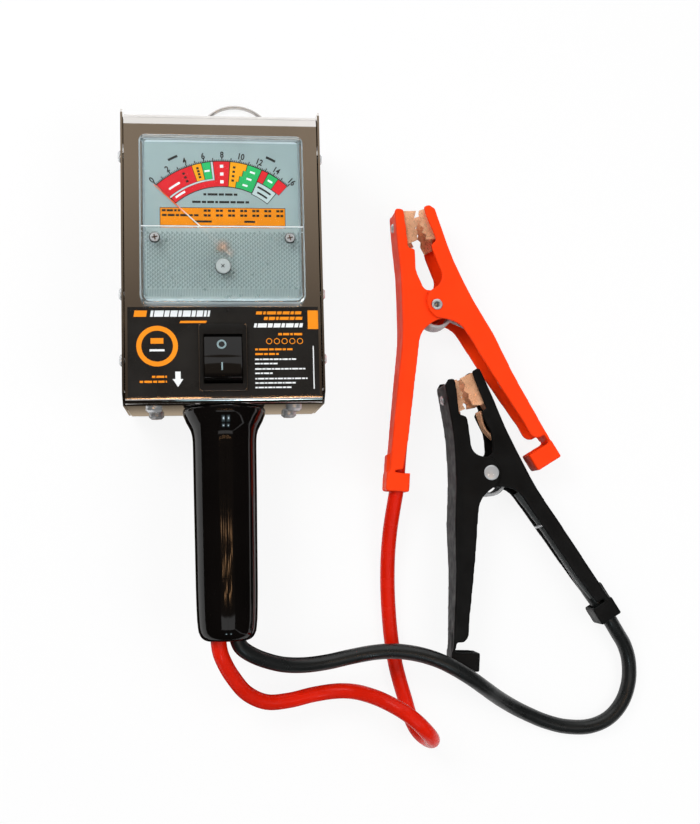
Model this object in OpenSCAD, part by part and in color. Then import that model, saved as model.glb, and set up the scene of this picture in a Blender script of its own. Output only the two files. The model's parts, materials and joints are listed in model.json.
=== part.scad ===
// Battery load tester with a needle meter, a load switch, a straight grip and two clamp leads.
// It lies on its back: +Z out of the meter's face, +Y toward the hanging ring, +X right. Sizes in mm.

/* [Housing] */
// Width of the case over its side panels
body_w = 115; // [100:1:130]
// Height of the case without the handle
body_h = 172; // [160:1:190]
// Depth of the case from its back plate to its face
body_d = 66; // [58:1:80]
// Thickness of the sheet steel
sheet = 1.2; // [0.8:0.1:1.6]
// Bend radius along the top of the face
bend_top = 9; // [6:0.5:12]
// Bend radius along the bottom of the face
bend_low = 4; // [3:0.5:6]
// How far the side panels stand above the face
side_rise = 3; // [1:0.5:4]
// Height of the four pressed feet in the back plate
foot_h = 4.2; // [4.2:0.1:6]

/* [Meter] */
// Width of the meter's cover
meter_w = 94.2; // [88:0.5:98]
// Height of the meter's cover
meter_h = 99.2; // [95:0.5:103]
// How far the cover stands off the face
meter_t = 8.3; // [8:0.1:10]
// Diameter of the meter's barrel behind the face
barrel_d = 70; // [66:1:74]
// Length of the barrel behind the face
barrel_l = 30; // [29:0.5:32]
// Length of the needle from its pivot
needle_l = 52.8; // [48:0.2:54]
// Full swing of the needle in degrees
needle_swing = 94; // [80:1:96]

/* [Switch] */
// Width of the switch's bezel
bezel_w = 26.8; // [25:0.2:30]
// Height of the switch's bezel
bezel_h = 38.1; // [36:0.2:42]
// How far the rocker tips in degrees
rocker_throw = 12; // [8:1:14]

/* [Handle] */
// Length of the handle outside the case
handle_len = 134.7; // [120:0.1:150]
// Diameter of the grip
grip_d = 37; // [34:0.5:38]
// Diameter of the flare at the case
flare_d = 48.4; // [46:0.2:52]
// Wall of the handle's two halves
grip_wall = 2.6; // [2.2:0.1:3]

/* [Hanging ring] */
// Outside diameter of the hanging ring
ring_d = 51; // [46:1:56]
// Diameter of the ring's wire
ring_wire = 2.4; // [2:0.1:2.6]

/* [Leads] */
// Diameter of the lead cable
cable_d = 9.2; // [8:0.1:10]
// Width of each clamp across its two flanges
clamp_w = 27; // [25:0.5:30]
// Wall of the clamps' dipped steel channels
clamp_wall = 2; // [1.6:0.1:2.2]
// Diameter of the clamps' rivets
clamp_pin = 6; // [5:0.1:6.4]

/* [Hidden] */
$fn = 48;
eps = 0.02;

// The ring's place: it hangs from a strap on the back plate and lies swung to the right.
ring_rest = -26;
ring_r = (ring_d - ring_wire) / 2;
strap_v = body_h - 18;
ring_out = strap_v + ring_r * cos(ring_rest) + ring_d / 2 - body_h;
total_h = handle_len + body_h + ring_out;
y_low = handle_len - total_h / 2;
y_top = y_low + body_h;
y_end = -total_h / 2;
z_back = foot_h;
z_face = foot_h + body_d;
z_in = z_back + sheet;
gap = 0.4;
front_w = body_w - 2 * sheet - 2 * gap;
in_w = front_w - 2 * sheet;

// Meter
meter_v = 105.9;
meter_y = y_low + meter_v;
pivot_y = y_low + 90.3;
ledge_y = y_low + 101;
cover_wall = 1.8;
case_t = 2.4;
z_dial = z_face + case_t + 0.6;
z_cover = z_face + meter_t;
z_needle = z_dial + 1.4;
z_barrel = z_face - barrel_l;
stud_x = 39;
stud_dy = 41;
magnet_z = z_barrel + 9.4;
magnet_h = 13.5;
coil_r = 10.4;
core_r = 9;
pole_r = 12;
coil_z0 = magnet_z - 2.4;
coil_z1 = magnet_z + magnet_h + 2.4;
bridge_z0 = coil_z0 - 3.4;
bridge_z1 = coil_z1 + 2;
spindle_r = 0.9;
jewel_r = 0.95;
rest_angle = needle_swing / 2;
zero_y = y_low + 78;
terminal_y = meter_y - 2;
screw_y = y_low + 94.7;
screw_x = 38.5;

// Switch
switch_x = -0.7;
switch_y = y_low + 26.9;
bezel_t = 2.6;
rocker_w = 21.2;
rocker_h = 27.4;
rocker_y = y_low + 25.8;
z_rocker = z_face - 4.5;
switch_depth = 19;

// Load
board_z = z_in + 4;
board_t = 2.5;
post_z = board_z + board_t;
post_h = 13;
run_n = 11;
run_pitch = 9.2;
run_x = 27;
ribbon_t = 0.8;
ribbon_y0 = y_low + 42;

// Handle
grip_z = 46;
end_r = grip_d / 2 - 1.1;
lead_x = cable_d / 2 + 0.8;

// Clamps: the outlines are seen along the rivet, which is at 0, 0.
clamp_z = clamp_w / 2 + 1;
clamp_in_w = clamp_w - 2 * clamp_wall - 0.8;
taper_y = -20;
collar_w = 17;
liner_w = clamp_in_w - 2 * clamp_wall - 0.6;
// A curve through every point of an outline.
function curved(p, n) = let (m = len(p) - 1) concat([for (i = [0:m - 1], k = [0:n - 1])
    let (a = p[max(i - 1, 0)], b = p[i], c = p[i + 1], d = p[min(i + 2, m)], t = k / n)
        0.5 * (2 * b + (c - a) * t + (2 * a - 5 * b + 4 * c - d) * t * t
            + (3 * b - a - 3 * c + d) * t * t * t)], [p[m]]);
red_place = [134.1, 32.6];
black_place = [164.9, -73.6];
black_turn = 25.6;
cable_outer = curved([[-24.6, 61], [-23.6, 40.5], [-22, 20.6], [-21.8, -4.7], [-22.2, -22.2], [-24.8, -42.4],
    [-27.9, -67], [-30.2, -86], [-32.2, -103]], 2);
cable_inner = curved([[-23.6, -103], [-19.9, -84], [-16.9, -62.4], [-12.1, -28.7], [-10.3, -19],
    [-6.6, -13.8], [0, -9.6], [6.2, -7.4], [9.6, 0], [6.2, 7.4], [0, 9.6],
    [-6.6, 10.2], [-9.4, 15.6], [-12.2, 23.2], [-12.4, 35.6], [-16.4, 36.9], [-16.8, 40],
    [-18.7, 59.8], [-20, 61.8], [-23.8, 62.1]], 2);
free_outer = curved([[0.7, 62.1], [5.2, 47.8], [11.6, 28.6], [23.4, 3], [35.4, -18.2], [47.3, -43],
    [59.4, -65], [68, -80.6], [71.2, -86]], 2);
free_inner = curved([[69.6, -85.4], [68.6, -83.6], [66.8, -82.9], [64, -84.6], [60.8, -84.4],
    [57.8, -82], [54.4, -75.6], [47.4, -64.8], [38.6, -51], [29.5, -36.4],
    [20, -20.4], [15.2, -13.6], [9.4, -10.2], [3.1, -8.8], [-0.9, -7.8], [-4.8, -3.6], [-6.4, 1.8],
    [-5.6, 6.2], [-3, 9.6], [1.7, 12.9], [3.9, 18.4], [1.8, 25.2], [-1.9, 35.6],
    [-1.8, 38.7], [0.4, 40.7], [0.6, 42.8], [-3.4, 52.9], [-6.2, 61.4], [-5.4, 63.2], [-2.6, 64.1]], 2);

// The lead cables' routes, from the handle's end to the clamps.
red_route = [[-lead_x, y_end + 1, 46], [-4.6, -174, 45.4], [-2.2, -181, 43], [2.6, -190, 37.6],
    [11, -201, 29.5], [23, -207.6, 23], [37, -207.8, 19], [52, -205.2, 17.4], [66, -203.6, 19],
    [77, -204, 23.4], [87, -206.4, 31], [95.5, -210, 37.8], [103, -214.4, 41.8], [109.8, -219.8, 43],
    [116, -226.2, 40.4], [120.6, -231.6, 33.4], [122.4, -234.8, 24.2], [120.8, -235.2, 15],
    [116.8, -231.4, 8], [113, -223, 5], [110, -212, 4.9], [107, -201, 4.9], [104.4, -189, 4.9],
    [102.4, -174, 4.9], [101.4, -158, 4.9], [101, -142, 5.8], [101.4, -124, 8], [102.8, -108, 10.8],
    [105, -94, 13], [106.8, -84, clamp_z], [107.6, -77.6, clamp_z]];
black_route = [[lead_x, y_end + 1, 46], [7.6, -172.4, 45.4], [13.4, -177, 43.4], [22, -181.2, 39.8],
    [33, -184.6, 35.4], [46, -185.8, 31.6], [60, -184.8, 29.2], [74, -182.4, 28.4], [88, -180.4, 29],
    [101, -180, 31.4], [114, -182, 33.6], [126, -186, 34.8], [136, -191.2, 34.6], [146, -197.6, 32.4],
    [156, -204.8, 26.4], [166, -212, 18], [177, -219, 10.8], [188, -225, 6.4], [200, -230.4, 5],
    [213, -234, 4.9], [228, -234.6, 4.9], [241, -230, 4.9], [250.4, -220.4, 4.9],
    [255.4, -208, 4.9], [255.6, -195, 6.4], [252.2, -184.4, 9.2], [247, -176.4, 12.2],
    [242.3, -169.2, clamp_z], [239.4, -164.4, clamp_z]];

function unit(v) = v / norm(v);
function tangent(r, i) = unit(r[min(i + 1, len(r) - 1)] - r[max(i - 1, 0)]);
function side(t) = unit(cross(t, abs(t[2]) > 0.9 ? [1, 0, 0] : [0, 0, 1]));
function ring_points(r, i, rad, n) = let (t = tangent(r, i), s = side(t), u = cross(s, t))
    [for (k = [0:n - 1]) r[i] + rad * (cos(360 * k / n) * s + sin(360 * k / n) * u)];
function tube_points(r, rad, n) = [for (i = [0:len(r) - 1]) each ring_points(r, i, rad, n)];
function quad_rows(m, n) = [for (i = [0:m - 2]) for (k = [0:n - 1])
    [i * n + k, i * n + (k + 1) % n, (i + 1) * n + (k + 1) % n, (i + 1) * n + k]];
function blend_point(r, i, t) = let (a = r[max(i - 1, 0)], b = r[i], c = r[i + 1],
    d = r[min(i + 2, len(r) - 1)])
    0.5 * ((2 * b) + (c - a) * t + (2 * a - 5 * b + 4 * c - d) * t * t
    + (3 * b - a - 3 * c + d) * t * t * t);
function fine_route(r) = [for (i = [0:len(r) - 2]) for (t = [0, 0.5]) blend_point(r, i, t),
    r[len(r) - 1]];
function shifted(p, d) = [for (q = p) [q[0] + d, q[1]]];
function reversed(p) = [for (i = [len(p) - 1:-1:0]) p[i]];

module tube(route, d, n) {
    r = fine_route(route);
    last = len(r) - 1;
    faces = concat(
        [[for (k = [0:n - 1]) k]],
        [for (q = quad_rows(len(r), n)) [q[0], q[3], q[2], q[1]]],
        [[for (k = [n - 1:-1:0]) last * n + k]]
    );
    polyhedron(points = tube_points(r, d / 2, n), faces = faces, convexity = 10);
}

// A round rod from one point to another.
module rod(a, b, r) {
    v = b - a;
    l = norm(v);
    translate(a) rotate([0, acos(v[2] / l), atan2(v[1], v[0])]) cylinder(r = r, h = l);
}

module box(x0, x1, y0, y1, z0, z1) {
    translate([x0, y0, z0]) cube([x1 - x0, y1 - y0, z1 - z0]);
}

// A plate with round corners, its low corner at x0, y0.
module round_plate(x0, x1, y0, y1, z0, z1, r) {
    box(x0 + r, x1 - r, y0, y1, z0, z1);
    box(x0, x1, y0 + r, y1 - r, z0, z1);
    for (x = [x0 + r, x1 - r]) {
        for (y = [y0 + r, y1 - r]) {
            translate([x, y, z0]) cylinder(r = r, h = z1 - z0);
        }
    }
}

module at_corners(x, y0, y1) {
    for (sx = [-1, 1]) {
        for (y = [y0, y1]) {
            translate([sx * x, y, 0]) children();
        }
    }
}

// ---------------------------------------------------------------- Housing
module face_section(t, low) {
    translate([y_low + t, low]) square([body_h - 2 * t, z_face - bend_top - low]);
    translate([y_low + bend_low, low]) square([body_h - bend_low - bend_top, z_face - t - low]);
    translate([y_low + t, low]) square([bend_low, z_face - bend_low - low]);
    translate([y_low + bend_low, z_face - bend_low]) circle(r = bend_low - t);
    translate([y_top - bend_top, z_face - bend_top]) circle(r = bend_top - t);
}

module along_x(w) {
    translate([-w / 2, 0, 0]) rotate([90, 0, 90]) linear_extrude(w) children();
}

side_v = [147, 65.4, 26.9];
side_z = z_face - 9.5;
tab_ranges = [[56.4, 150], [9, 46]];
bottom_x = 40.6;
bottom_z = [z_back + 9.5, z_face - 17];

module front_shell() {
    color("silver") difference() {
        union() {
            difference() {
                along_x(front_w) face_section(0, z_in + 0.1);
                along_x(front_w + 1) face_section(sheet, z_in - 1);
            }
            for (s = [-1, 1]) {
                for (t = tab_ranges) {
                    x0 = s > 0 ? front_w / 2 - sheet : -front_w / 2;
                    box(x0, x0 + sheet, y_low + t[0], y_low + t[1], z_face - 16, z_face - eps);
                }
            }
        }
        translate([0, meter_y - 8, z_face - 4]) cylinder(d = barrel_d + 1, h = 8);
        at_corners(stud_x, meter_y - stud_dy, meter_y + stud_dy)
            translate([0, 0, z_face - 4]) cylinder(d = 3.6, h = 8);
        box(switch_x - bezel_w / 2 + 1.8, switch_x + bezel_w / 2 - 1.8, switch_y - bezel_h / 2 + 3,
            switch_y + bezel_h / 2 - 3, z_face - 4, z_face + 4);
        for (v = side_v) {
            translate([-body_w, y_low + v, side_z]) rotate([0, 90, 0]) cylinder(d = 3.6, h = 2 * body_w);
        }
        for (x = [-bottom_x, bottom_x]) {
            for (z = bottom_z) {
                translate([x, y_low - 4, z]) rotate([-90, 0, 0]) cylinder(d = 4.4, h = 8);
            }
        }
        translate([0, y_low - 4, grip_z]) rotate([-90, 0, 0]) cylinder(d = 40, h = 8);
    }
}

module side_outline() {
    polygon([[y_low + 0.2, z_back + 4], [y_low + 4, z_back], [y_top - 4, z_back],
        [y_top + 0.4, z_back + 4], [y_top + 0.6, z_face + side_rise - 5],
        [y_top - 0.4, z_face + side_rise - 0.8], [y_top - 2.4, z_face + side_rise],
        [y_low + 7, z_face + side_rise], [y_low + 0.2, z_face - 5]]);
}

module rear_shell() {
    color("silver") difference() {
        union() {
            for (x = [-body_w / 2, body_w / 2 - sheet]) {
                translate([x, 0, 0]) rotate([90, 0, 90]) linear_extrude(sheet) side_outline();
            }
            box(-body_w / 2 + eps, body_w / 2 - eps, y_low + 4, y_top - 4, z_back, z_in);
            at_corners(44, y_low + 16, y_top - 44) cylinder(d1 = 10, d2 = 17, h = z_back + eps);
        }
        at_corners(44, y_low + 16, y_top - 44)
            translate([0, 0, sheet]) cylinder(d1 = 8, d2 = 15.4, h = z_back + eps);
        for (v = side_v) {
            translate([-body_w, y_low + v, side_z]) rotate([0, 90, 0]) cylinder(d = 3.6, h = 2 * body_w);
        }
        for (i = [0:8]) {
            box(-body_w, body_w, y_low + 50 + 9 * i, y_low + 53.2 + 9 * i, z_back + 12, z_back + 34);
        }
        for (i = [0:7]) {
            box(-30, 30, y_low + 44 + 12 * i, y_low + 47 + 12 * i, z_back - 1, z_in + 1);
        }
        for (x = [-5.5, 5.5]) {
            translate([x, y_low + strap_v + 9, z_back - 1]) cylinder(d = 3, h = 4);
        }
        at_corners(44, y_low + 38, y_top - 26)
            translate([0, 0, z_back - 1]) cylinder(d = 3.2, h = 4);
    }
}

module pan_screw(d, head_d, head_h, l) {
    cylinder(d = d, h = l + eps);
    translate([0, 0, -head_h]) difference() {
        union() {
            translate([0, 0, head_h * 0.45]) cylinder(d = head_d, h = head_h * 0.55);
            cylinder(d1 = head_d * 0.66, d2 = head_d, h = head_h * 0.45 + eps);
        }
        for (a = [0, 90]) {
            rotate([0, 0, a]) translate([-head_d * 0.27, -0.5, -1]) cube([head_d * 0.54, 1, 1.9]);
        }
    }
}

module shell_screws() {
    color("gainsboro") for (s = [-1, 1]) {
        for (v = side_v) {
            translate([s * body_w / 2, y_low + v, side_z]) rotate([0, -90 * s, 0])
                pan_screw(3.5, 7, 2.2, 8);
        }
    }
}

module label_plate() {
    color("black") difference() {
        box(-54.4, 54.4, y_low + 4.5, y_low + 56.1, z_face, z_face + 0.35);
        box(switch_x - bezel_w / 2 - 0.3, switch_x + bezel_w / 2 + 0.3, switch_y - bezel_h / 2 - 0.3,
            switch_y + bezel_h / 2 + 0.3, z_face - 1, z_face + 1);
    }
}

module hanger_strap() {
    y = y_low + strap_v;
    color("silver") union() {
        difference() {
            box(-3, 3, y - 9, y + 6, z_back - 4.1, z_back);
            box(-4, 4, y - 5, y + 5, z_back - 3.2, z_back + 1);
            box(-4, 4, y - 10, y - 6, z_back - 5, z_back - 0.6);
        }
        box(-9, 9, y + 5.9, y + 12, z_back - 0.6, z_back);
        for (x = [-5.5, 5.5]) {
            translate([x, y + 9, z_back - 0.6]) cylinder(d = 2.9, h = sheet + 1.8);
            translate([x, y + 9, z_in + 0.1]) cylinder(d = 4.6, h = 1.1);
        }
    }
}

module hanger_ring() {
    color("silver") translate([0, y_low + strap_v, z_back - 1.9]) rotate([0, 0, ring_rest])
        translate([0, ring_r, 0]) rotate_extrude($fn = 96) translate([ring_r, 0]) circle(d = ring_wire);
}

// ---------------------------------------------------------------- Meter
module meter_case() {
    color("dimgray") difference() {
        union() {
            round_plate(-meter_w / 2 + 2.2, meter_w / 2 - 2.2, meter_y - meter_h / 2 + 2.2,
                meter_y + meter_h / 2 - 2.2, z_face, z_face + case_t, 3);
            translate([0, meter_y - 8, z_barrel]) cylinder(d = barrel_d, h = barrel_l + eps);
            at_corners(stud_x, meter_y - stud_dy, meter_y + stud_dy)
                translate([0, 0, z_face - 9]) cylinder(d = 3, h = 9 + eps);
            for (x = [-screw_x, screw_x]) {
                translate([x, screw_y, z_face + 1]) cylinder(d = 6, h = meter_t - cover_wall - 1.1);
            }
        }
        difference() {
            translate([0, meter_y - 8, z_barrel + 2.4]) cylinder(d = barrel_d - 5, h = barrel_l + 4);
            for (x = [-26, 26]) {
                translate([x, pivot_y, z_barrel]) cylinder(d = 7, h = bridge_z0 - z_barrel);
            }
        }
        for (x = [-15, 15]) {
            translate([x, terminal_y, z_barrel - 1]) cylinder(d = 4.1, h = 5);
        }
        for (x = [-screw_x, screw_x]) {
            translate([x, screw_y, z_face + 1]) cylinder(d = 2.5, h = meter_t);
        }
    }
}

module dial_plate() {
    color("white") difference() {
        box(-44, 44, meter_y - meter_h / 2 + 3.6, meter_y + meter_h / 2 - 3.6, z_face + case_t, z_dial);
        translate([0, pivot_y, z_face]) cylinder(r = 3.6, h = 6);
        for (x = [-screw_x, screw_x]) {
            translate([x, screw_y, z_face]) cylinder(d = 7, h = 6);
        }
    }
}

module meter_cover() {
    x = meter_w / 2;
    y0 = meter_y - meter_h / 2;
    y1 = meter_y + meter_h / 2;
    color([0.8, 0.9, 1, 0.5]) difference() {
        union() {
            round_plate(-x, x, y0, y1, z_face + 0.05, z_cover, 4);
            box(-x + 2, x - 2, y0 + 3, ledge_y, z_cover - eps, z_cover + 0.6);
        }
        round_plate(-x + cover_wall, x - cover_wall, y0 + cover_wall, y1 - cover_wall, z_face - 1,
            z_cover - cover_wall, 2.4);
        for (sx = [-screw_x, screw_x]) {
            translate([sx, screw_y, z_face]) cylinder(d = 3.2, h = 20);
            translate([sx, screw_y, z_cover - 0.2]) cylinder(d = 7.4, h = 3);
        }
        translate([0, zero_y, z_face]) cylinder(d = 6.1, h = 20);
        translate([0, zero_y, z_cover - 0.6]) cylinder(d = 9.4, h = 3);
    }
}

module cover_screws() {
    color("gainsboro") for (x = [-screw_x, screw_x]) {
        translate([x, screw_y, z_cover - 0.2]) rotate([180, 0, 0]) pan_screw(2.5, 6.4, 1.7, 6);
    }
}

module zero_adjuster() {
    color("white") translate([0, zero_y, 0]) difference() {
        union() {
            translate([0, 0, z_cover - 3]) cylinder(d = 6, h = 3.4);
            translate([0, 0, z_cover - 0.5]) cylinder(d = 8.8, h = 1.2);
            translate([0, 0, z_cover + 0.7 - eps]) cylinder(d1 = 8.8, d2 = 6.6, h = 0.9);
            translate([0, 0, z_cover - 3.4]) cylinder(d = 7.4, h = 0.8);
            translate([0, 2.2, z_cover - 4.2]) cylinder(d = 1.4, h = 1.2);
        }
        translate([-5, -0.6, z_cover + 0.7]) cube([10, 1.2, 2]);
    }
}

module at_pivot() {
    translate([0, pivot_y, 0]) children();
}

module meter_needle() {
    color("orangered") at_pivot() rotate([0, 0, rest_angle]) difference() {
        union() {
            translate([0, 0, z_needle]) linear_extrude(0.5)
                polygon([[-1.3, 0], [-0.28, needle_l], [0.28, needle_l], [1.3, 0], [1, -7], [-1, -7]]);
            translate([0, 0, z_needle - 0.4]) cylinder(r = 3, h = 1.2);
            translate([0, -5.8, z_needle - 0.4]) cylinder(r = 1.6, h = 1.2);
        }
        translate([0, 0, z_needle - 1]) cylinder(r = spindle_r, h = 3);
    }
}

module moving_coil() {
    color("peru") at_pivot() rotate([0, 0, rest_angle]) {
        difference() {
            box(-coil_r - 0.7, coil_r + 0.7, -1.6, 1.6, coil_z0, coil_z1);
            box(-coil_r + 0.7, coil_r - 0.7, -3, 3, coil_z0 + 1.2, coil_z1 - 1.2);
        }
        translate([0, 0, coil_z1 - eps]) cylinder(r = spindle_r, h = z_needle + 1.1 - coil_z1);
        translate([0, 0, bridge_z0 + 0.4]) cylinder(r = spindle_r, h = coil_z0 - bridge_z0 - 0.4 + eps);
    }
}

module meter_magnet() {
    color("gray") at_pivot() difference() {
        translate([0, 0, magnet_z]) cylinder(r = 22, h = magnet_h);
        translate([0, 0, magnet_z - 1]) cylinder(r = pole_r, h = magnet_h + 2);
        for (s = [-1, 1]) {
            box(-3, 3, s > 0 ? pole_r - 2 : -30, s > 0 ? 30 : -pole_r + 2, magnet_z + 4, magnet_z + 20);
        }
    }
}

module meter_core() {
    color("lightgray") at_pivot() {
        translate([0, 0, magnet_z + 1]) cylinder(r = core_r, h = magnet_h - 2);
        for (s = [-1, 1]) {
            box(-2.8, 2.8, s > 0 ? core_r - 1 : -21, s > 0 ? 21 : -core_r + 1, magnet_z + 4, magnet_z + 9);
        }
    }
}

module meter_bridges() {
    color("khaki") at_pivot() {
        difference() {
            union() {
                box(-30, 30, -4, 4, bridge_z0, bridge_z0 + 2.2);
                for (x = [-27, 27]) {
                    translate([x, 0, bridge_z0 + 2.2 - eps])
                        cylinder(r = 3, h = bridge_z1 - bridge_z0 - 2.2 + 2 * eps);
                }
                box(-30, 30, -4, 4, bridge_z1, bridge_z1 + 1.8);
            }
            translate([0, 0, bridge_z0 + 0.2]) cylinder(r = jewel_r, h = 4);
            translate([0, 0, bridge_z1 - 1]) cylinder(r = jewel_r, h = 4);
        }
        for (x = [-24.5, 22.04]) {
            box(x, x + 2.46, -3, 3, magnet_z + 5, magnet_z + 9);
        }
    }
}

module meter_nuts() {
    color("gainsboro") at_corners(stud_x, meter_y - stud_dy, meter_y + stud_dy) difference() {
        translate([0, 0, z_face - sheet - 2.4]) cylinder(d = 6.4, h = 2.4, $fn = 6);
        translate([0, 0, z_face - 9]) cylinder(d = 3, h = 9);
    }
}

module terminal_studs() {
    color("goldenrod") for (x = [-15, 15]) {
        translate([x, terminal_y, z_barrel - 9]) cylinder(d = 4, h = 12.4);
        translate([x, terminal_y, z_barrel + 2.4]) cylinder(d = 7, h = 1.4);
    }
}

module terminal_nuts() {
    color("goldenrod") for (x = [-15, 15]) {
        difference() {
            translate([x, terminal_y, z_barrel - 3.2]) cylinder(d = 8, h = 3.2, $fn = 6);
            translate([x, terminal_y, z_barrel - 9]) cylinder(d = 4, h = 12);
        }
    }
}

// ---------------------------------------------------------------- Switch
module switch_body() {
    x0 = switch_x - bezel_w / 2;
    y0 = switch_y - bezel_h / 2;
    rx = rocker_w / 2 + 0.5;
    ry = rocker_h / 2 + 0.6;
    color("black") difference() {
        union() {
            round_plate(x0, x0 + bezel_w, y0, y0 + bezel_h, z_face, z_face + bezel_t, 2);
            box(x0 + 2, x0 + bezel_w - 2, y0 + 3.4, y0 + bezel_h - 3.4, z_face - switch_depth, z_face + eps);
        }
        box(switch_x - rx, switch_x + rx, rocker_y - ry, rocker_y + ry, z_face - switch_depth + 2,
            z_face + 5);
        translate([switch_x - rx - 1, rocker_y, z_rocker]) rotate([0, 90, 0])
            cylinder(d = 3.1, h = 2 * rx + 2);
        for (y = [rocker_y - 9, rocker_y + 1]) {
            box(switch_x - 3.2, switch_x + 3.2, y - 0.5, y + 0.5, z_face - switch_depth - 1,
                z_face - switch_depth + 3);
        }
    }
}

module switch_rocker() {
    hx = rocker_w / 2;
    hy = rocker_h / 2;
    color("black") translate([switch_x, rocker_y, z_rocker]) union() {
        rotate([90, 0, 90]) translate([0, 0, -hx]) linear_extrude(rocker_w) polygon([[-hy + 0.2, 0],
            [-hy + 0.6, 6], [-hy + 1.5, 9.8], [-hy + 3.3, 12.2], [-hy + 5.1, 12.4], [-1, 9.6], [1, 9.1],
            [hy - 1.3, 6.6], [hy - 0.1, 5.6], [hy - 0.2, 0.2], [4, -3], [-4, -3]]);
        translate([-hx - 1.35, 0, 0]) rotate([0, 90, 0]) cylinder(d = 3, h = rocker_w + 2.7);
    }
}

module switch_plunger() {
    floor_z = z_face - switch_depth + 2;
    color("gainsboro") translate([switch_x, rocker_y + 6, floor_z]) {
        cylinder(d = 6.4, h = 2.4);
        cylinder(d = 4.4, h = z_rocker - 4.4 - floor_z);
    }
}

module switch_blades() {
    color("goldenrod") for (y = [rocker_y - 9, rocker_y + 1]) {
        box(switch_x - 3.1, switch_x + 3.1, y - 0.4, y + 0.4, z_face - switch_depth - 9,
            z_face - switch_depth + 2.6);
    }
}

// ---------------------------------------------------------------- Load resistor
module load_ribbon() {
    color("gray") translate([0, ribbon_y0, post_z + 0.6]) linear_extrude(post_h - 1.2) {
        for (i = [0:run_n - 1]) {
            translate([-run_x - eps, i * run_pitch - ribbon_t / 2]) square([2 * run_x + 2 * eps, ribbon_t]);
        }
        for (i = [0:run_n - 2]) {
            s = i % 2 == 0 ? 1 : -1;
            translate([s * run_x, (i + 0.5) * run_pitch]) difference() {
                circle(d = run_pitch + ribbon_t);
                circle(d = run_pitch - ribbon_t);
                translate([s > 0 ? -20 : 0, -20]) square([20, 40]);
            }
        }
        translate([-run_x - 11.4, -ribbon_t / 2]) square([11.4 + eps, ribbon_t]);
        translate([run_x, (run_n - 1) * run_pitch - ribbon_t / 2]) square([11.4, ribbon_t]);
    }
}

module load_board() {
    color("burlywood") difference() {
        box(-48, 48, y_low + 33, y_top - 21, board_z, board_z + board_t);
        at_corners(44, y_low + 38, y_top - 26) translate([0, 0, z_in]) cylinder(d = 3.2, h = 20);
    }
    color("burlywood") at_corners(44, y_low + 38, y_top - 26) difference() {
        translate([0, 0, z_in]) cylinder(d = 7, h = board_z - z_in + eps);
        translate([0, 0, z_in - 1]) cylinder(d = 3.2, h = 20);
    }
}

module load_posts() {
    color("white") for (i = [0:run_n - 2]) {
        s = i % 2 == 0 ? 1 : -1;
        translate([s * run_x, ribbon_y0 + (i + 0.5) * run_pitch, post_z])
            cylinder(d = run_pitch - ribbon_t - 0.4, h = post_h);
    }
}

module load_screws() {
    color("gainsboro") at_corners(44, y_low + 38, y_top - 26) {
        translate([0, 0, z_back - 0.1]) cylinder(d = 3, h = board_z + board_t - z_back + 0.1 + eps);
        translate([0, 0, board_z + board_t]) cylinder(d = 6, h = 2);
        translate([0, 0, z_back - 1.6]) cylinder(d = 6, h = 1.6);
    }
}

module load_bus() {
    y1 = ribbon_y0 + (run_n - 1) * run_pitch;
    color("peru") union() {
        box(run_x + 11.4, run_x + 12.6, y_low + 9, y1 + 4, post_z + 0.6, post_z + 12.4);
        box(-14, run_x + 12.6, y_low + 9, y_low + 10.2, post_z + 0.6, post_z + 12.4);
        translate([-8, y_low + 9.6, lug_z]) rotate([90, 0, 0]) cylinder(d = 5, h = 3);
        translate([-8, y_low + 7.3, lug_z]) rotate([90, 0, 0]) cylinder(d1 = 8, d2 = 6, h = 1.2);
    }
}

module switch_bus() {
    z1 = z_face - switch_depth - 8;
    color("peru") union() {
        box(-run_x - 12.6, -run_x - 11.4, rocker_y + 1.45, ribbon_y0 + 4, post_z + 0.6, z1 + 6);
        box(-run_x - 12.6, switch_x + 3, rocker_y + 1.45, rocker_y + 2.65, z1, z1 + 6);
    }
}

// ---------------------------------------------------------------- Handle
grip_profile = [[flare_d / 2 - 1.2, 0], [flare_d / 2, 1.4], [flare_d / 2 - 0.3, 4.4],
    [flare_d / 2 - 1.8, 8], [grip_d / 2 + 1.1, 13], [grip_d / 2 + 0.1, 19], [grip_d / 2, 30],
    [grip_d / 2 - 0.6, handle_len - 30], [end_r, handle_len - 12], [end_r - 0.8, handle_len - 5],
    [end_r - 3, handle_len - 1.2], [end_r - 5, handle_len]];
grip_bore = [[0, -1], [flare_d / 2 - grip_wall - 1, -1], [flare_d / 2 - grip_wall - 1.6, 6],
    [grip_d / 2 - grip_wall, 15], [grip_d / 2 - grip_wall - 0.6, handle_len - 30],
    [end_r - grip_wall, handle_len - 11], [0, handle_len - 11]];
handle_screw_v = [30, 74, 112];
boss_dz = grip_d / 2 - 9.1;
bore_at_tab = (flare_d / 2 - grip_wall - 1.6) * 4 / 9 + (grip_d / 2 - grip_wall) * 5 / 9;
tab_x = sqrt(pow(bore_at_tab + 0.3, 2) - 49) - 2;

module grip_half(s) {
    difference() {
        translate([0, y_low, grip_z]) rotate([90, 0, 0]) difference() {
            rotate_extrude($fn = 96) polygon(concat([[0, 0]], grip_profile, [[0, handle_len]]));
            rotate_extrude($fn = 96) polygon(grip_bore);
        }
        box(s > 0 ? -60 : -0.04, s > 0 ? 0.04 : 60, y_end - 5, y_low + 5, 0, 100);
        translate([0, y_end - 1, grip_z]) rotate([-90, 0, 0]) grommet_solid(14, 0.05);
        for (v = handle_screw_v) {
            translate([s > 0 ? 9.2 : -60, y_low - v, grip_z - boss_dz]) rotate([0, 90, 0])
                cylinder(d = 6.2, h = s > 0 ? 20 : 1);
        }
    }
}

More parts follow.
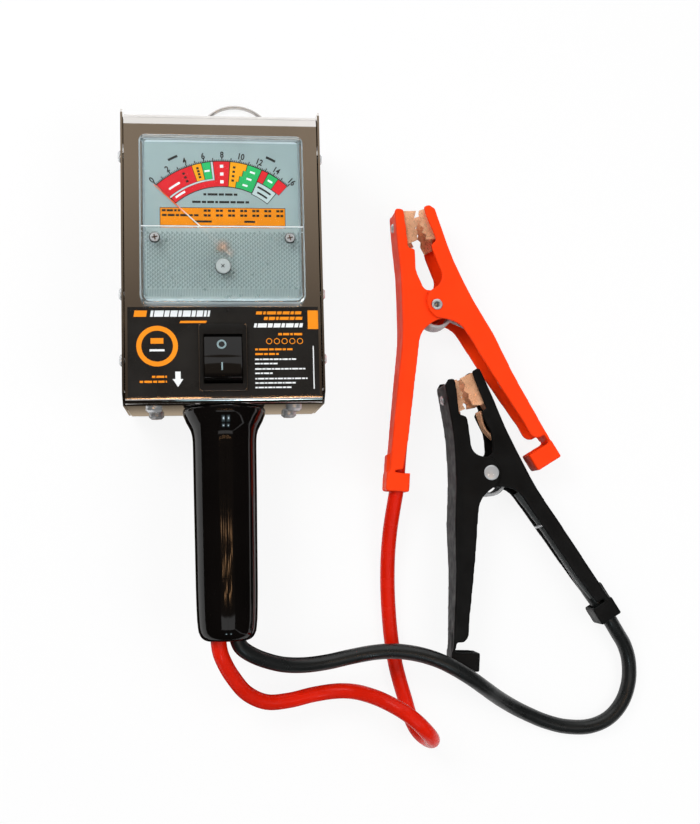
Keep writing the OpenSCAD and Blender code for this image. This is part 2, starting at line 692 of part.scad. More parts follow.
module grip_boss(s) {
    for (v = handle_screw_v) {
        translate([0, y_low - v, grip_z - boss_dz]) difference() {
            translate([s > 0 ? 0.04 : -11.04, 0, 0]) rotate([0, 90, 0]) cylinder(d = 7.6, h = 11);
            translate([s > 0 ? -1 : -9, 0, 0]) rotate([0, 90, 0]) cylinder(d = s > 0 ? 3.1 : 2.5, h = 12);
            translate([s > 0 ? 9.2 : -30, 0, 0]) rotate([0, 90, 0]) cylinder(d = 6.2, h = s > 0 ? 12 : 1);
        }
    }
}

module handle_left() {
    color([0.08, 0.08, 0.08]) union() {
        grip_half(-1);
        grip_boss(-1);
    }
}

module handle_right() {
    color([0.08, 0.08, 0.08]) union() {
        grip_half(1);
        grip_boss(1);
    }
}

module handle_screws() {
    color("gainsboro") for (v = handle_screw_v) {
        translate([9.2, y_low - v, grip_z - boss_dz]) rotate([0, -90, 0]) {
            translate([0, 0, -0.5]) cylinder(d = 2.5, h = 17.5);
            translate([0, 0, -2]) difference() {
                cylinder(d = 5.6, h = 2 - eps);
                translate([-3, -0.4, -1]) cube([6, 0.8, 1.8]);
            }
        }
    }
}

// The plug that fills the handle's end round both cables.
module grommet_solid(l, more) {
    for (s = [-1, 1]) {
        translate([s * lead_x, 0, 0]) cylinder(r = cable_d / 2 + 2 + more, h = l);
    }
    translate([-lead_x, -cable_d / 2 - 2 - more, 0]) cube([2 * lead_x, cable_d + 4 + 2 * more, l]);
}

module cable_grommet() {
    color([0.1, 0.1, 0.1]) difference() {
        translate([0, y_end + 0.4, grip_z]) rotate([-90, 0, 0]) union() {
            grommet_solid(11, 0);
            translate([0, 0, 11]) intersection() {
                cylinder(r = end_r - grip_wall - 1, h = 3);
                grommet_solid(3, 2);
            }
        }
        for (s = [-1, 1]) {
            translate([s * lead_x, y_end - 1, grip_z]) rotate([-90, 0, 0])
                cylinder(d = cable_d + 0.1, h = 20);
        }
    }
}

module handle_bracket() {
    color("gray") difference() {
        union() {
            box(-46, 46, y_low + sheet + 0.05, y_low + sheet + 2.05, z_in + 2, z_face - 9);
            for (x = [-tab_x - 2, tab_x]) {
                box(x, x + 2, y_low - 11, y_low + sheet + 1, grip_z - 7, grip_z + 7);
            }
        }
        for (x = [-bottom_x, bottom_x]) {
            for (z = bottom_z) {
                translate([x, y_low - 1, z]) rotate([-90, 0, 0]) cylinder(d = 4.2, h = 8);
            }
        }
        box(-13.6, 13.6, y_low - 2, y_low + 6, z_in + 10, grip_z + 13);
    }
}

module bracket_screws() {
    color("gainsboro") for (x = [-bottom_x, bottom_x]) {
        for (z = bottom_z) {
            translate([x, y_low, z]) rotate([-90, 0, 0]) pan_screw(4, 9.4, 2.8, 8);
        }
    }
}

module bracket_nuts() {
    color("gainsboro") for (x = [-bottom_x, bottom_x]) {
        for (z = bottom_z) {
            translate([x, y_low + sheet + 2.1, z]) rotate([-90, 0, 0]) difference() {
                cylinder(d = 8, h = 3.2, $fn = 6);
                translate([0, 0, -1]) cylinder(d = 4, h = 6);
            }
        }
    }
}

// ---------------------------------------------------------------- Leads inside the handle and the case
lug_z = post_z + 6.5;

module lead_inside(s, p) {
    a = [s * lead_x, y_end + 1, grip_z];
    b = [s * lead_x, y_low - 14, grip_z];
    rod(a, b, cable_d / 2);
    translate(b) sphere(d = cable_d + 0.4);
    rod(b, p, cable_d / 2);
}

lead_z = 38;

module red_lead() {
    color("red") lead_inside(-1, [-7, y_low + 2.6, lead_z]);
}

module black_lead() {
    color([0.15, 0.15, 0.15]) lead_inside(1, [7.5, y_low + 2.6, lead_z]);
}

module ring_terminals() {
    color("peru") {
        rod([-7, y_low + 2.7, lead_z - 0.1], [-8, y_low + 5.9, lug_z + 4], 3);
        difference() {
            translate([-8, y_low + 7.4, lug_z]) rotate([-90, 0, 0]) cylinder(d = 12, h = 1.4);
            translate([-8, y_low + 6, lug_z]) rotate([-90, 0, 0]) cylinder(d = 5.1, h = 4);
        }
    }
    color("peru") {
        rod([7.5, y_low + 2.7, lead_z - 0.1], [7.5, y_low + 11, lead_z - 0.1], 3);
        box(2.4, 12, y_low + 10.6, rocker_y - 9.45, lead_z - 1, lead_z + 0.6);
        box(switch_x - 3, switch_x + 12, rocker_y - 10.6, rocker_y - 9.45, lead_z - 1,
            z_face - switch_depth - 2);
    }
}

module sense_wires() {
    color("orange") for (s = [-1, 1]) {
        b = [s * 33, meter_y - 40, z_barrel - 5.6];
        c = [s * 33, y_low + 14, z_barrel - 5.6];
        rod([s * 17.6, terminal_y - 3.6, z_barrel - 5.6], b, 1.2);
        translate(b) sphere(r = 1.4, $fn = 24);
        rod(b, c, 1.2);
    }
}

// ---------------------------------------------------------------- Clamps
module spine(p, t, w) {
    translate([0, 0, -w / 2]) linear_extrude(w) polygon(concat(p, reversed(shifted(p, t))));
}

// One flange at side m: level at the pivot, then closing in by slope k toward the arm's end.
module flange(outline, m, w, k) {
    low = w / 2 - k * (taper_y + 116);
    t = clamp_wall;
    intersection() {
        translate([0, 0, -w]) linear_extrude(2 * w) polygon(outline);
        translate([-99, 0, 0]) rotate([90, 0, 90]) linear_extrude(199)
            polygon([[99, m * w / 2], [taper_y, m * w / 2], [-116, m * low],
                [-116, m * (low - t)], [taper_y, m * (w / 2 - t)], [99, m * (w / 2 - t)]]);
    }
}

module clamp_half(outer, inner, dir, w, w_end, hole) {
    k = (w - w_end) / 2 / (taper_y + 96);
    high = w / 2 + 0.25;
    low = high - k * (taper_y + 116);
    rim = concat(shifted(outer, dir * 0.6), inner);
    difference() {
        union() {
            flange(rim, -1, w, k);
            flange(rim, 1, w, k);
            intersection() {
                spine(outer, dir * clamp_wall * 1.1, 2 * high);
                translate([-99, 0, 0]) rotate([90, 0, 90]) linear_extrude(199)
                    polygon([[99, high], [taper_y, high], [-116, low], [-116, -low],
                        [taper_y, -high], [99, -high]]);
            }
        }
        translate([0, 0, -w]) cylinder(d = hole, h = 2 * w);
    }
}

// The open end with its crimped collar, at p along direction a.
module collar(p, a, w, through, wide) {
    h = wide / 2;
    translate([p[0], p[1], 0]) rotate([0, 0, a]) difference() {
        translate([-h, -11.8, -w / 2]) cube([wide, 11.8, w]);
        translate([-h + 2, -13, -w / 2 + 2]) cube([wide - 4, 20, w - 4]);
    }
    translate([p[0], p[1], 0]) rotate([0, 0, a]) translate([through > 0 ? h - 2 : -h, -1, -w / 2 + 3])
        cube([2, 12, w - 6]);
}

module cable_jaw() {
    difference() {
        union() {
            clamp_half(cable_outer, cable_inner, 1, clamp_in_w, collar_w, clamp_pin + 0.1);
            collar([-26.7, -104.6], -5, collar_w, -1, 14.8);
        }
        translate([-25, 52, 0]) rotate([0, 90, 0]) translate([0, 0, -3]) cylinder(d = 3.6, h = 8);
    }
}

module free_jaw() {
    difference() {
        union() {
            clamp_half(free_outer, free_inner, -1, clamp_w, collar_w, clamp_pin + 0.1);
            collar([64.4, -90.8], 30, collar_w, 1, 17.8);
        }
        translate([3, 53.5, 0]) rotate([0, 90, 17]) translate([0, 0, -5]) cylinder(d = 3.6, h = 8);
    }
}

module clamp_rivet() {
    w = clamp_w / 2;
    difference() {
        union() {
            translate([0, 0, -w - 0.2]) cylinder(d = clamp_pin, h = clamp_w + 0.3);
            translate([0, 0, w + eps]) cylinder(d1 = 8.6, d2 = 7, h = 0.9);
            translate([0, 0, -w - 0.24]) cylinder(d = 9.4, h = 0.2);
        }
        translate([0, 0, w - 6]) cylinder(d = 3.6, h = 8);
    }
}

module clamp_spring() {
    c = [1.2, -4];
    r = 9.2;
    translate([c[0], c[1], 0]) {
        for (i = [-3:3]) {
            translate([0, 0, i * 2.3]) rotate_extrude() translate([r, 0]) circle(d = 2.4, $fn = 20);
        }
    }
    rod([c[0] - r + 0.3, c[1] - 1, 6.9], [-21.2, -52, 6.2], 1.1);
    rod([c[0] + r - 0.3, c[1] - 1, -6.9], [45.6, -50, -6.9], 1.1);
}

function teeth(n, y0, y1, x, d) = [for (i = [0:2 * n])
    [x + (i % 2 == 0 ? 0 : d), y0 + (y1 - y0) * i / (2 * n)]];

module liner(back, tips, w, t, sgn) {
    for (z = [-w / 2, w / 2 - t]) {
        translate([0, 0, z]) linear_extrude(t) polygon(concat(back, tips));
    }
    translate([0, 0, -w / 2]) linear_extrude(w) polygon(concat(back, reversed(shifted(back, sgn * t))));
}

module cable_liner() {
    difference() {
        liner([[-21.4, 60], [-20.6, 41.6]], teeth(5, 41.8, 60.4, -11.4, 1.9), liner_w, 1, 1);
        translate([-25, 52, 0]) rotate([0, 90, 0]) cylinder(d = 3.5, h = 10);
    }
}

module free_liner() {
    difference() {
        liner([[-1.4, 60.4], [3.2, 45]],
            [for (i = [0:10]) [-4.6 - 0.14 * i - (i % 2) * 1.9, 43.4 + 1.74 * i]], liner_w, 1, -1);
        translate([3, 53.5, 0]) rotate([0, 90, 17]) translate([0, 0, -8]) cylinder(d = 3.5, h = 12);
    }
}

module cable_rivet() {
    translate([-25, 52, 0]) rotate([0, 90, 0]) difference() {
        union() {
            cylinder(d = 3.4, h = 7.6);
            translate([0, 0, -0.2]) cylinder(d1 = 4.6, d2 = 6.2, h = 1.1);
            translate([0, 0, 6.5]) cylinder(d = 5, h = 1.1);
        }
        translate([0, 0, -2]) cylinder(d = 2, h = 6);
    }
}

module free_rivet() {
    translate([3, 53.5, 0]) rotate([0, 90, 17]) difference() {
        union() {
            translate([0, 0, -4.8]) cylinder(d = 3.4, h = 6.4);
            translate([0, 0, 0.9]) cylinder(d1 = 6.2, d2 = 4.6, h = 1.1);
            translate([0, 0, -5.4]) cylinder(d = 5, h = 1.1);
        }
        translate([0, 0, -2]) cylinder(d = 2, h = 6);
    }
}

module bond_strip() {
    translate([0, 0, -4]) linear_extrude(8) polygon([[-18.6, 40], [-19.6, 4.7], [-20, -30], [-24.6, -66],
        [-23.9, -66.2], [-19.2, -30], [-18.8, 4.7], [-17.8, 40]]);
}

module on_red() {
    translate([red_place[0], red_place[1], clamp_z]) children();
}

module on_black() {
    translate([black_place[0], black_place[1], clamp_z]) rotate([0, 0, black_turn])
        rotate([0, 180, 0]) children();
}

module red_cable() { color("red") tube(red_route, cable_d, 10); }
module black_cable() { color([0.15, 0.15, 0.15]) tube(black_route, cable_d, 10); }
module red_cable_jaw() { color("orangered") on_red() cable_jaw(); }
module red_free_jaw() { color("orangered") on_red() free_jaw(); }
module red_rivet() { color("gainsboro") on_red() clamp_rivet(); }
module red_spring() { color("silver") on_red() clamp_spring(); }
module red_cable_liner() { color("peru") on_red() cable_liner(); }
module red_free_liner() { color("peru") on_red() free_liner(); }
module red_cable_rivet() { color("gainsboro") on_red() cable_rivet(); }
module red_free_rivet() { color("gainsboro") on_red() free_rivet(); }
module red_bond_strip() { color("peru") on_red() bond_strip(); }
module black_cable_jaw() { color([0.12, 0.12, 0.12]) on_black() cable_jaw(); }
module black_free_jaw() { color([0.12, 0.12, 0.12]) on_black() free_jaw(); }
module black_rivet() { color("gainsboro") on_black() clamp_rivet(); }
module black_spring() { color("silver") on_black() clamp_spring(); }
module black_cable_liner() { color("peru") on_black() cable_liner(); }
module black_free_liner() { color("peru") on_black() free_liner(); }
module black_cable_rivet() { color("gainsboro") on_black() cable_rivet(); }
module black_free_rivet() { color("gainsboro") on_black() free_rivet(); }
module black_bond_strip() { color("peru") on_black() bond_strip(); }

front_shell();
rear_shell();
shell_screws();
label_plate();
hanger_strap();
hanger_ring();
meter_case();
dial_plate();
meter_cover();
cover_screws();
meter_needle();
moving_coil();
meter_magnet();
meter_core();
meter_bridges();
zero_adjuster();
meter_nuts();
terminal_studs();
terminal_nuts();
switch_body();
switch_rocker();
switch_plunger();
switch_blades();
load_ribbon();
load_board();
load_posts();
load_screws();
load_bus();
switch_bus();
handle_left();
handle_right();
handle_screws();
handle_bracket();
bracket_screws();
bracket_nuts();
cable_grommet();
red_lead();
black_lead();
ring_terminals();
sense_wires();
red_cable();
black_cable();
red_cable_jaw();
red_free_jaw();
red_rivet();
red_spring();
red_cable_liner();
red_free_liner();
red_cable_rivet();
red_free_rivet();
red_bond_strip();
black_cable_jaw();
black_free_jaw();
black_rivet();
black_spring();
black_cable_liner();
black_free_liner();
black_cable_rivet();
black_free_rivet();
black_bond_strip();
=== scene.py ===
"""The looks of a battery load tester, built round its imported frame.

Blender's lengths are metres. Points and sizes are written in mm here, and times MM become metres.
"""

import json
import math

import bmesh
import bpy
from mathutils import Matrix, Vector


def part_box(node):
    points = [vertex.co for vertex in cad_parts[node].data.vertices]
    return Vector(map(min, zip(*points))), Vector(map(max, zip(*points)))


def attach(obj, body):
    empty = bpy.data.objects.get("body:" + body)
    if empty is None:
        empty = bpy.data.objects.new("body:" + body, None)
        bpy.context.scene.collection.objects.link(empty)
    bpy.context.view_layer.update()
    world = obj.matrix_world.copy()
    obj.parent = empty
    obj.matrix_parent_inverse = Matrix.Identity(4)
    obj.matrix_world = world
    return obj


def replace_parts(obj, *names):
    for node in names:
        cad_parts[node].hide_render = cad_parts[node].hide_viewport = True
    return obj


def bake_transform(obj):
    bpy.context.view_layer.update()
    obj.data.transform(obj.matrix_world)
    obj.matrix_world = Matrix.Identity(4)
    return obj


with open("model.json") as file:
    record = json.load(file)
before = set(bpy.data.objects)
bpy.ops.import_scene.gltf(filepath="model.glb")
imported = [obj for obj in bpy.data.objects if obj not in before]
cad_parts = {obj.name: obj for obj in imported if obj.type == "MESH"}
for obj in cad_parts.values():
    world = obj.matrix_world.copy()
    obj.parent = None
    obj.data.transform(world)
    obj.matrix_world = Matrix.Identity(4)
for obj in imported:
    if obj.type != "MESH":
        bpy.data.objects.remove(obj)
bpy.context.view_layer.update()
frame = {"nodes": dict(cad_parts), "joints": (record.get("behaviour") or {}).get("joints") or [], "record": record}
MM = 0.001

# ---- places, taken from the frame
JOINTS = {j["name"]: j for j in frame["joints"]}
NODES = frame["nodes"]


def joint_place(name):
    """Where a joint's axis stands, in mm."""
    return Vector(JOINTS[name]["pos_m"]) / MM


def box_mm(node):
    """A node's lowest and highest corners, in mm."""
    low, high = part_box(node)
    return Vector(low) / MM, Vector(high) / MM


FRONT = box_mm("front_shell")
Y_LOW, Z_FACE = FRONT[0].y, FRONT[1].z
COVER = box_mm("meter_cover")
DIAL = box_mm("dial_plate")
LABEL_TOP = box_mm("label_plate")[1].z
PIVOT = joint_place("needle_swing")
RED_PIN = joint_place("red_clamp_open")
BLACK_PIN = joint_place("black_clamp_open")
GRIP_END = box_mm("handle_left")[0].y
CLAMP_Z = RED_PIN.z
CABLE_D = 9.2
SLOTS = {part["node"]: part["material_slot"] for part in frame["record"]["subparts"]}
BLACK_TURN = 25.6  # how far the black clamp is turned on the table, in degrees
REST_SWING = 47  # the needle's place at zero, in degrees left of straight up


# ---- materials
def node(tree, kind, **values):
    """A new shader node with its inputs set; _ stands for a space in an input's name."""
    made = tree.nodes.new("ShaderNode" + kind)
    for name, value in values.items():
        made.inputs[name.replace("_", " ")].default_value = value
    return made


def ramp(tree, factor, low, high):
    """A plain two-colour mix, driven by a 0 to 1 value."""
    mix = node(tree, "Mix")
    mix.data_type = "RGBA"
    mix.inputs["A"].default_value = (*low, 1)
    mix.inputs["B"].default_value = (*high, 1)
    tree.links.new(factor, mix.inputs["Factor"])
    return mix.outputs["Result"]


def fitted(tree, value, low, high, start=0.3, end=0.7):
    """Maps a value from start..end to low..high."""
    made = node(tree, "MapRange", From_Min=start, From_Max=end, To_Min=low, To_Max=high)
    tree.links.new(value, made.inputs["Value"])
    return made.outputs["Result"]


def grain(tree, scale, stretch=(1, 1, 1)):
    """A noise over the object, whose scale is in features per metre."""
    mapping = node(tree, "Mapping", Scale=stretch)
    noise = node(tree, "TexNoise", Scale=scale, Detail=3)
    tree.links.new(node(tree, "TexCoord").outputs["Object"], mapping.inputs["Vector"])
    tree.links.new(mapping.outputs["Vector"], noise.inputs["Vector"])
    return noise.outputs["Fac"]


def new_tree(data):
    """The nodes of a new material or world."""
    data.use_nodes = True
    return data.node_tree


def surface(name, color, rough, metal=0, vary=0.06, vary_scale=60, rough_vary=0.08, fine=900,
            bump=0.05, depth=0.05, stretch=(1, 1, 1), specular=0.5, other=None):
    """A finish with its colour, roughness and fine relief varied over the surface."""
    made = bpy.data.materials.new(name)
    tree = new_tree(made)
    link = tree.links.new
    shader = tree.nodes["Principled BSDF"]
    low = other or tuple(max(0, c * (1 - vary)) for c in color)
    high = tuple(min(1, c * (1 + vary)) for c in color)
    tone = grain(tree, vary_scale, stretch)
    link(ramp(tree, fitted(tree, tone, 0, 1), low, high), shader.inputs["Base Color"])
    spots = grain(tree, fine * 0.3, stretch)
    lowest = max(0.01, rough - rough_vary)
    link(fitted(tree, spots, lowest, rough + rough_vary), shader.inputs["Roughness"])
    relief = node(tree, "Bump", Strength=bump, Distance=depth * MM)
    link(grain(tree, fine, stretch), relief.inputs["Height"])
    link(relief.outputs["Normal"], shader.inputs["Normal"])
    shader.inputs["Metallic"].default_value = metal
    shader.inputs["Specular IOR Level"].default_value = specular
    return made


def mix_shaders(tree, share, first, second):
    """The first shader where share is 0, the second where it is 1."""
    mix = node(tree, "MixShader")
    for value, place in ((share, 0), (first, 1), (second, 2)):
        tree.links.new(value, mix.inputs[place])
    return mix.outputs[0]


def clear_surface(name, tint, rough, clear=1):
    """Clear plastic that lets the lamps' light through to what is behind it."""
    made = surface(name, tint, rough, vary=0.02, rough_vary=rough * 0.6, bump=0.02)
    tree = made.node_tree
    link = tree.links.new
    shader = tree.nodes["Principled BSDF"]
    shader.inputs["Transmission Weight"].default_value = clear
    shader.inputs["IOR"].default_value = 1.49
    through = node(tree, "BsdfTransparent", Color=(*tint, 1))
    shadow = node(tree, "LightPath").outputs["Is Shadow Ray"]
    mix = mix_shaders(tree, shadow, shader.outputs[0], through.outputs[0])
    link(mix, tree.nodes["Material Output"].inputs["Surface"])
    return made


FINISH = {
    "chrome_shell": surface(
        "nickel_chrome", (0.8, 0.77, 0.74), 0.07, metal=1, vary=0.03, vary_scale=12,
        rough_vary=0.035, fine=260, depth=0.02, stretch=(3, 0.12, 1)),
    "plated_steel": surface(
        "zinc_plated", (0.66, 0.675, 0.69), 0.22, metal=0.5, vary_scale=150, fine=1400,
        rough_vary=0.06),
    "label_film": surface(
        "label_film", (0.016, 0.015, 0.014), 0.2, vary=0.2, rough_vary=0.06, fine=2400, bump=0.1,
        depth=0.02),
    "black_plastic": surface(
        "black_plastic", (0.008, 0.0075, 0.007), 0.42, vary=0.15, specular=0.3, fine=2600,
        bump=0.25, depth=0.03),
    "pale_plastic": surface("pale_plastic", (0.6, 0.66, 0.68), 0.35, vary=0.04, fine=1500),
    "dial_paint": surface("dial_paint", (0.3, 0.375, 0.375), 0.45, vary=0.02, fine=3000, bump=0.03),
    "needle_paint": surface("needle_paint", (0.95, 0.25, 0.05), 0.4, vary=0.05),
    "copper": surface(
        "copper_plate", (0.93, 0.52, 0.31), 0.3, metal=0.45, vary=0.08, vary_scale=160,
        rough_vary=0.12, fine=1300, bump=0.3, other=(0.8, 0.41, 0.23)),
    "magnet_iron": surface("magnet_iron", (0.25, 0.25, 0.26), 0.5, metal=1, vary=0.15),
    "brass": surface("turned_brass", (0.8, 0.62, 0.3), 0.25, metal=1, vary=0.1),
    "white_plastic": surface("white_plastic", (0.74, 0.77, 0.78), 0.22, vary=0.03),
    "gloss_black": surface(
        "gloss_black", (0.003, 0.0024, 0.0022), 0.06, vary=0.2, vary_scale=30, rough_vary=0.02,
        fine=380, bump=0.03, depth=0.03, specular=0.4),
    "nichrome": surface("nichrome", (0.34, 0.33, 0.32), 0.45, metal=1, vary=0.2, vary_scale=200),
    "board": surface("phenolic_board", (0.45, 0.3, 0.16), 0.6, vary=0.15, stretch=(1, 6, 1)),
    "ceramic": surface("ceramic", (0.8, 0.78, 0.72), 0.6, vary=0.05, fine=2000, bump=0.2),
    "grommet_rubber": surface("grommet_rubber", (0.015, 0.015, 0.015), 0.5, vary=0.2),
    "red_jacket": surface(
        "red_jacket", (0.64, 0.01, 0.0005), 0.26, vary=0.12, vary_scale=40, rough_vary=0.06,
        fine=500, bump=0.1, depth=0.08, specular=0.2),
    "black_jacket": surface(
        "black_jacket", (0.01, 0.011, 0.011), 0.3, vary=0.2, vary_scale=40, rough_vary=0.06,
        fine=500, bump=0.12, depth=0.08),
    "wire_orange": surface("wire_orange", (0.9, 0.3, 0.03), 0.35, vary=0.05),
    "red_dip": surface(
        "red_dip", (0.95, 0.048, 0.004), 0.4, vary=0.05, vary_scale=70, fine=420, bump=0.14,
        depth=0.12, specular=0.12),
    "black_dip": surface(
        "black_dip", (0.006, 0.006, 0.006), 0.38, vary=0.25, vary_scale=70, rough_vary=0.1,
        fine=520, bump=0.2, depth=0.12, specular=0.12),
    "clear_plastic": clear_surface("clear_plastic", (0.93, 0.97, 0.98), 0.02),
    # lit and shaded copies of the clear plastic for the knurl's facets: painted light and painted shade, by which
    # way a facet faces
    "frosted": clear_surface("facet_painted_light", (0.98, 1, 1), 0.08),
    "shade": clear_surface("facet_painted_shade", (0.4, 0.43, 0.43), 0.08),
    "veil": clear_surface("veil", (0.93, 0.97, 0.97), 0.6),
    # a paler, half opaque copy of the plastic for the cover's outer edges: a painted highlight along the rim
    "rim": clear_surface("cover_edge_painted_highlight", (0.55, 0.63, 0.66), 0.12, clear=0.5),
}


def ink(name, color, vary=0.03, specular=0.15):
    """Nearly smooth printing ink."""
    return surface("ink_" + name, color, 0.4, vary=vary, fine=3000, bump=0.03, specular=specular)


INK = {
    "black": ink("black", (0.012, 0.013, 0.014), 0.1),
    "white": ink("white", (0.8, 0.82, 0.83)),
    "pale": ink("pale", (0.5, 0.58, 0.58)),
    "red": ink("red", (0.68, 0.012, 0.022), 0.06),
    "yellow": ink("yellow", (0.88, 0.34, 0.004), 0.04),
    "green": ink("green", (0.018, 0.42, 0.12), 0.06),
    "amber": ink("amber", (0.8, 0.235, 0.002), 0.04),
    "orange": ink("orange", (0.88, 0.27, 0.012), 0.04),
    "mark": ink("mark", (0.22, 0.31, 0.33), specular=0.5),
}
# dark brown for the bottom of the screws' cross recesses: painted shade
RECESS_SHADE = surface("recess_painted_shade", (0.1, 0.045, 0.024), 0.45, metal=0.6, vary=0.2, vary_scale=300)


def finish_cad_nodes():
    """Every node of the frame takes the finish of its slot in the record."""
    for node, slot in SLOTS.items():
        if slot in FINISH:
            NODES[node].data.materials.clear()
            NODES[node].data.materials.append(FINISH[slot])
    ring_wire = surface("ring_wire", (0.72, 0.7, 0.68), 0.16, metal=0.7, vary=0.03)
    NODES["hanger_ring"].data.materials[0] = ring_wire


# ---- mesh tools
def linked(name, data):
    """A new object in the scene."""
    made = bpy.data.objects.new(name, data)
    bpy.context.scene.collection.objects.link(made)
    return made


def round_off(piece, angle):
    """Shades a piece smooth, with its corners sharp."""
    piece.data.shade_smooth()
    piece.data.set_sharp_from_angle(angle=math.radians(angle))
    return piece


def apply_modifiers(piece):
    """Bakes the modifiers into the piece's mesh."""
    bpy.context.view_layer.update()
    graph = bpy.context.evaluated_depsgraph_get()
    mesh = bpy.data.meshes.new_from_object(piece.evaluated_get(graph))
    piece.modifiers.clear()
    piece.data = mesh
    return piece


def bevel(piece, width, angle=35, smooth=50):
    """Rounds a piece's edges by width mm, in two steps."""
    cut = piece.modifiers.new("edges", "BEVEL")
    cut.width = width * MM
    cut.segments = 2
    cut.limit_method = "ANGLE"
    cut.angle_limit = math.radians(angle)
    apply_modifiers(piece)
    return round_off(piece, smooth)


class Solid:
    """Closed shapes collected into one mesh."""

    def __init__(self):
        self.points = []
        self.faces = []

    def add(self, points, faces):
        first = len(self.points)
        self.points += [tuple(p) for p in points]
        self.faces += [[first + i for i in face] for face in faces]

    def prism(self, outline, low, high):
        """An outline in the XY plane, from height low to high."""
        n = len(outline)
        points = [(x, y, z) for z in (low, high) for x, y in outline]
        sides = [[i, (i + 1) % n, n + (i + 1) % n, n + i] for i in range(n)]
        self.add(points, [list(range(n))[::-1], list(range(n, 2 * n)), *sides])

    def rings(self, loops, closed_ends=True):
        """Joins loops of the same number of points, one after another."""
        n = len(loops[0])
        faces = [[k * n + i, k * n + (i + 1) % n, (k + 1) * n + (i + 1) % n, (k + 1) * n + i]
                 for k in range(len(loops) - 1) for i in range(n)]
        if closed_ends:
            last = (len(loops) - 1) * n
            faces += [list(range(n))[::-1], [last + i for i in range(n)]]
        self.add([p for loop in loops for p in loop], faces)

    def turn(self, profile, x=0, y=0, z=0, sides=48):
        """A closed shape round an upright axis; profile is (radius, height) from end to end."""
        rows = []
        for r, h in profile:
            turns = [2 * math.pi * k / sides for k in range(sides if r else 1)]
            rows.append([len(self.points) + k for k in range(len(turns))])
            self.points += [(x + r * math.cos(a), y + r * math.sin(a), z + h) for a in turns]
        for low, high in zip(rows, rows[1:]):
            for k in range(sides):
                corners = [row[i % sides % len(row)] for row, i in
                           ((low, k), (low, k + 1), (high, k + 1), (high, k))]
                self.faces.append(list(dict.fromkeys(corners)))

    def disc(self, r, low, high, *place):
        """A round plate; place is its x, y, z and number of sides."""
        self.turn([(0, low), (r, low), (r, high), (0, high)], *place)

    def hoop(self, x, y, outer, inner, low, high, sides):
        """A flat ring, from height low to high."""
        n = sides
        turns = [2 * math.pi * k / n for k in range(n)]
        points = [(x + r * math.cos(a), y + r * math.sin(a), h)
                  for h in (low, high) for r in (outer, inner) for a in turns]
        self.add(points, [[a * n + k, a * n + (k + 1) % n, b * n + (k + 1) % n, b * n + k]
                          for k in range(n) for a, b in ((0, 1), (2, 3), (0, 2), (1, 3))])

    def placed(self, matrix):
        """Moves every point so far by a matrix in mm."""
        self.points = [tuple(matrix @ Vector(p)) for p in self.points]
        return self

    def piece(self, name, material, body="tester", slot=None, smooth=35):
        """The mesh piece, which rides on a body."""
        mesh = bpy.data.meshes.new(name)
        mesh.from_pydata([Vector(p) * MM for p in self.points], [], self.faces)
        shape = bmesh.new()
        shape.from_mesh(mesh)
        bmesh.ops.recalc_face_normals(shape, faces=shape.faces)
        shape.to_mesh(mesh)
        shape.free()
        made = linked(name, mesh)
        mesh.materials.append(material)
        if smooth:
            round_off(made, smooth)
        if body:
            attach(made, body)
        return made


def arc(x, y, radius, start, end, steps):
    """Points on an arc; angles are in degrees, clockwise from +Y."""
    turns = [math.radians(start + (end - start) * i / steps) for i in range(steps + 1)]
    return [(x + radius * math.sin(a), y + radius * math.cos(a)) for a in turns]


def round_box(x0, x1, y0, y1, radii, steps=6):
    """A rectangle's outline, round corners; radii at top left, top right, low right, low left."""
    corners = ((x0, y1, -90, 1, -1), (x1, y1, 0, -1, -1), (x1, y0, 90, -1, 1), (x0, y0, 180, 1, 1))
    return [p for (x, y, a, sx, sy), r in zip(corners, radii)
            for p in arc(x + sx * r, y + sy * r, r, a, a + 90, steps)]


def smooth_route(points, steps):
    """A curve through every point, with steps pieces between each two."""
    made = []
    last = len(points) - 1
    for i in range(last):
        a, b = Vector(points[max(i - 1, 0)]), Vector(points[i])
        c, d = Vector(points[i + 1]), Vector(points[min(i + 2, last)])
        for k in range(steps):
            t = k / steps
            made.append(0.5 * (2 * b + (c - a) * t + (2 * a - 5 * b + 4 * c - d) * t * t
                               + (3 * b - a - 3 * c + d) * t * t * t))
    return made + [Vector(points[-1])]


def sweep(route, radius, sides=20):
    """Rings of points round a route, which don't twist."""
    loops = []
    along = (route[1] - route[0]).normalized()
    across = along.cross(Vector((0, 0, 1)))
    across = across.normalized() if across.length > 0.1 else Vector((1, 0, 0))
    turns = [2 * math.pi * k / sides for k in range(sides)]
    for i, point in enumerate(route):
        ahead, behind = route[min(i + 1, len(route) - 1)], route[max(i - 1, 0)]
        heading = (ahead - behind).normalized()
        across = (across - heading * across.dot(heading)).normalized()
        up = heading.cross(across)
        loops.append([point + across * math.cos(a) * radius + up * math.sin(a) * radius
                      for a in turns])
    return loops


def tube(name, route, radius, material, sides=20, **facts):
    """A round rod or cable along a route in mm."""
    shape = Solid()
    shape.rings(sweep(route, radius, sides))
    return shape.piece(name, material, **facts)


def combine(base, solids, operation):
    """Joins closed shapes to a closed piece, or cuts them out of it."""
    for solid in solids:
        other = solid.piece("tool", base.data.materials[0], body=None)
        step = base.modifiers.new("step", "BOOLEAN")
        step.operation = operation
        step.solver = "EXACT"
        step.object = other
        apply_modifiers(base)
        bpy.data.objects.remove(other)


def copy_of(node, ending, material):
    """A copy of a CAD node, whose doubled points are joined."""
    made = linked(node + ending, NODES[node].data.copy())
    made.data.materials.clear()
    made.data.materials.append(material)
    made.modifiers.new("weld", "WELD").merge_threshold = 0.004 * MM
    return made


def stand_for(piece, node, body):
    """Puts a piece in a CAD node's place, on a body."""
    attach(piece, body)
    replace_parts(piece, node)
    return piece


def polished_copy(node, width, material, body="tester"):
    """A copy of a CAD node with its edges slightly rounded, which catch the light."""
    made = bevel(copy_of(node, "_shown", material), width, 32, 34)
    return stand_for(made, node, body)


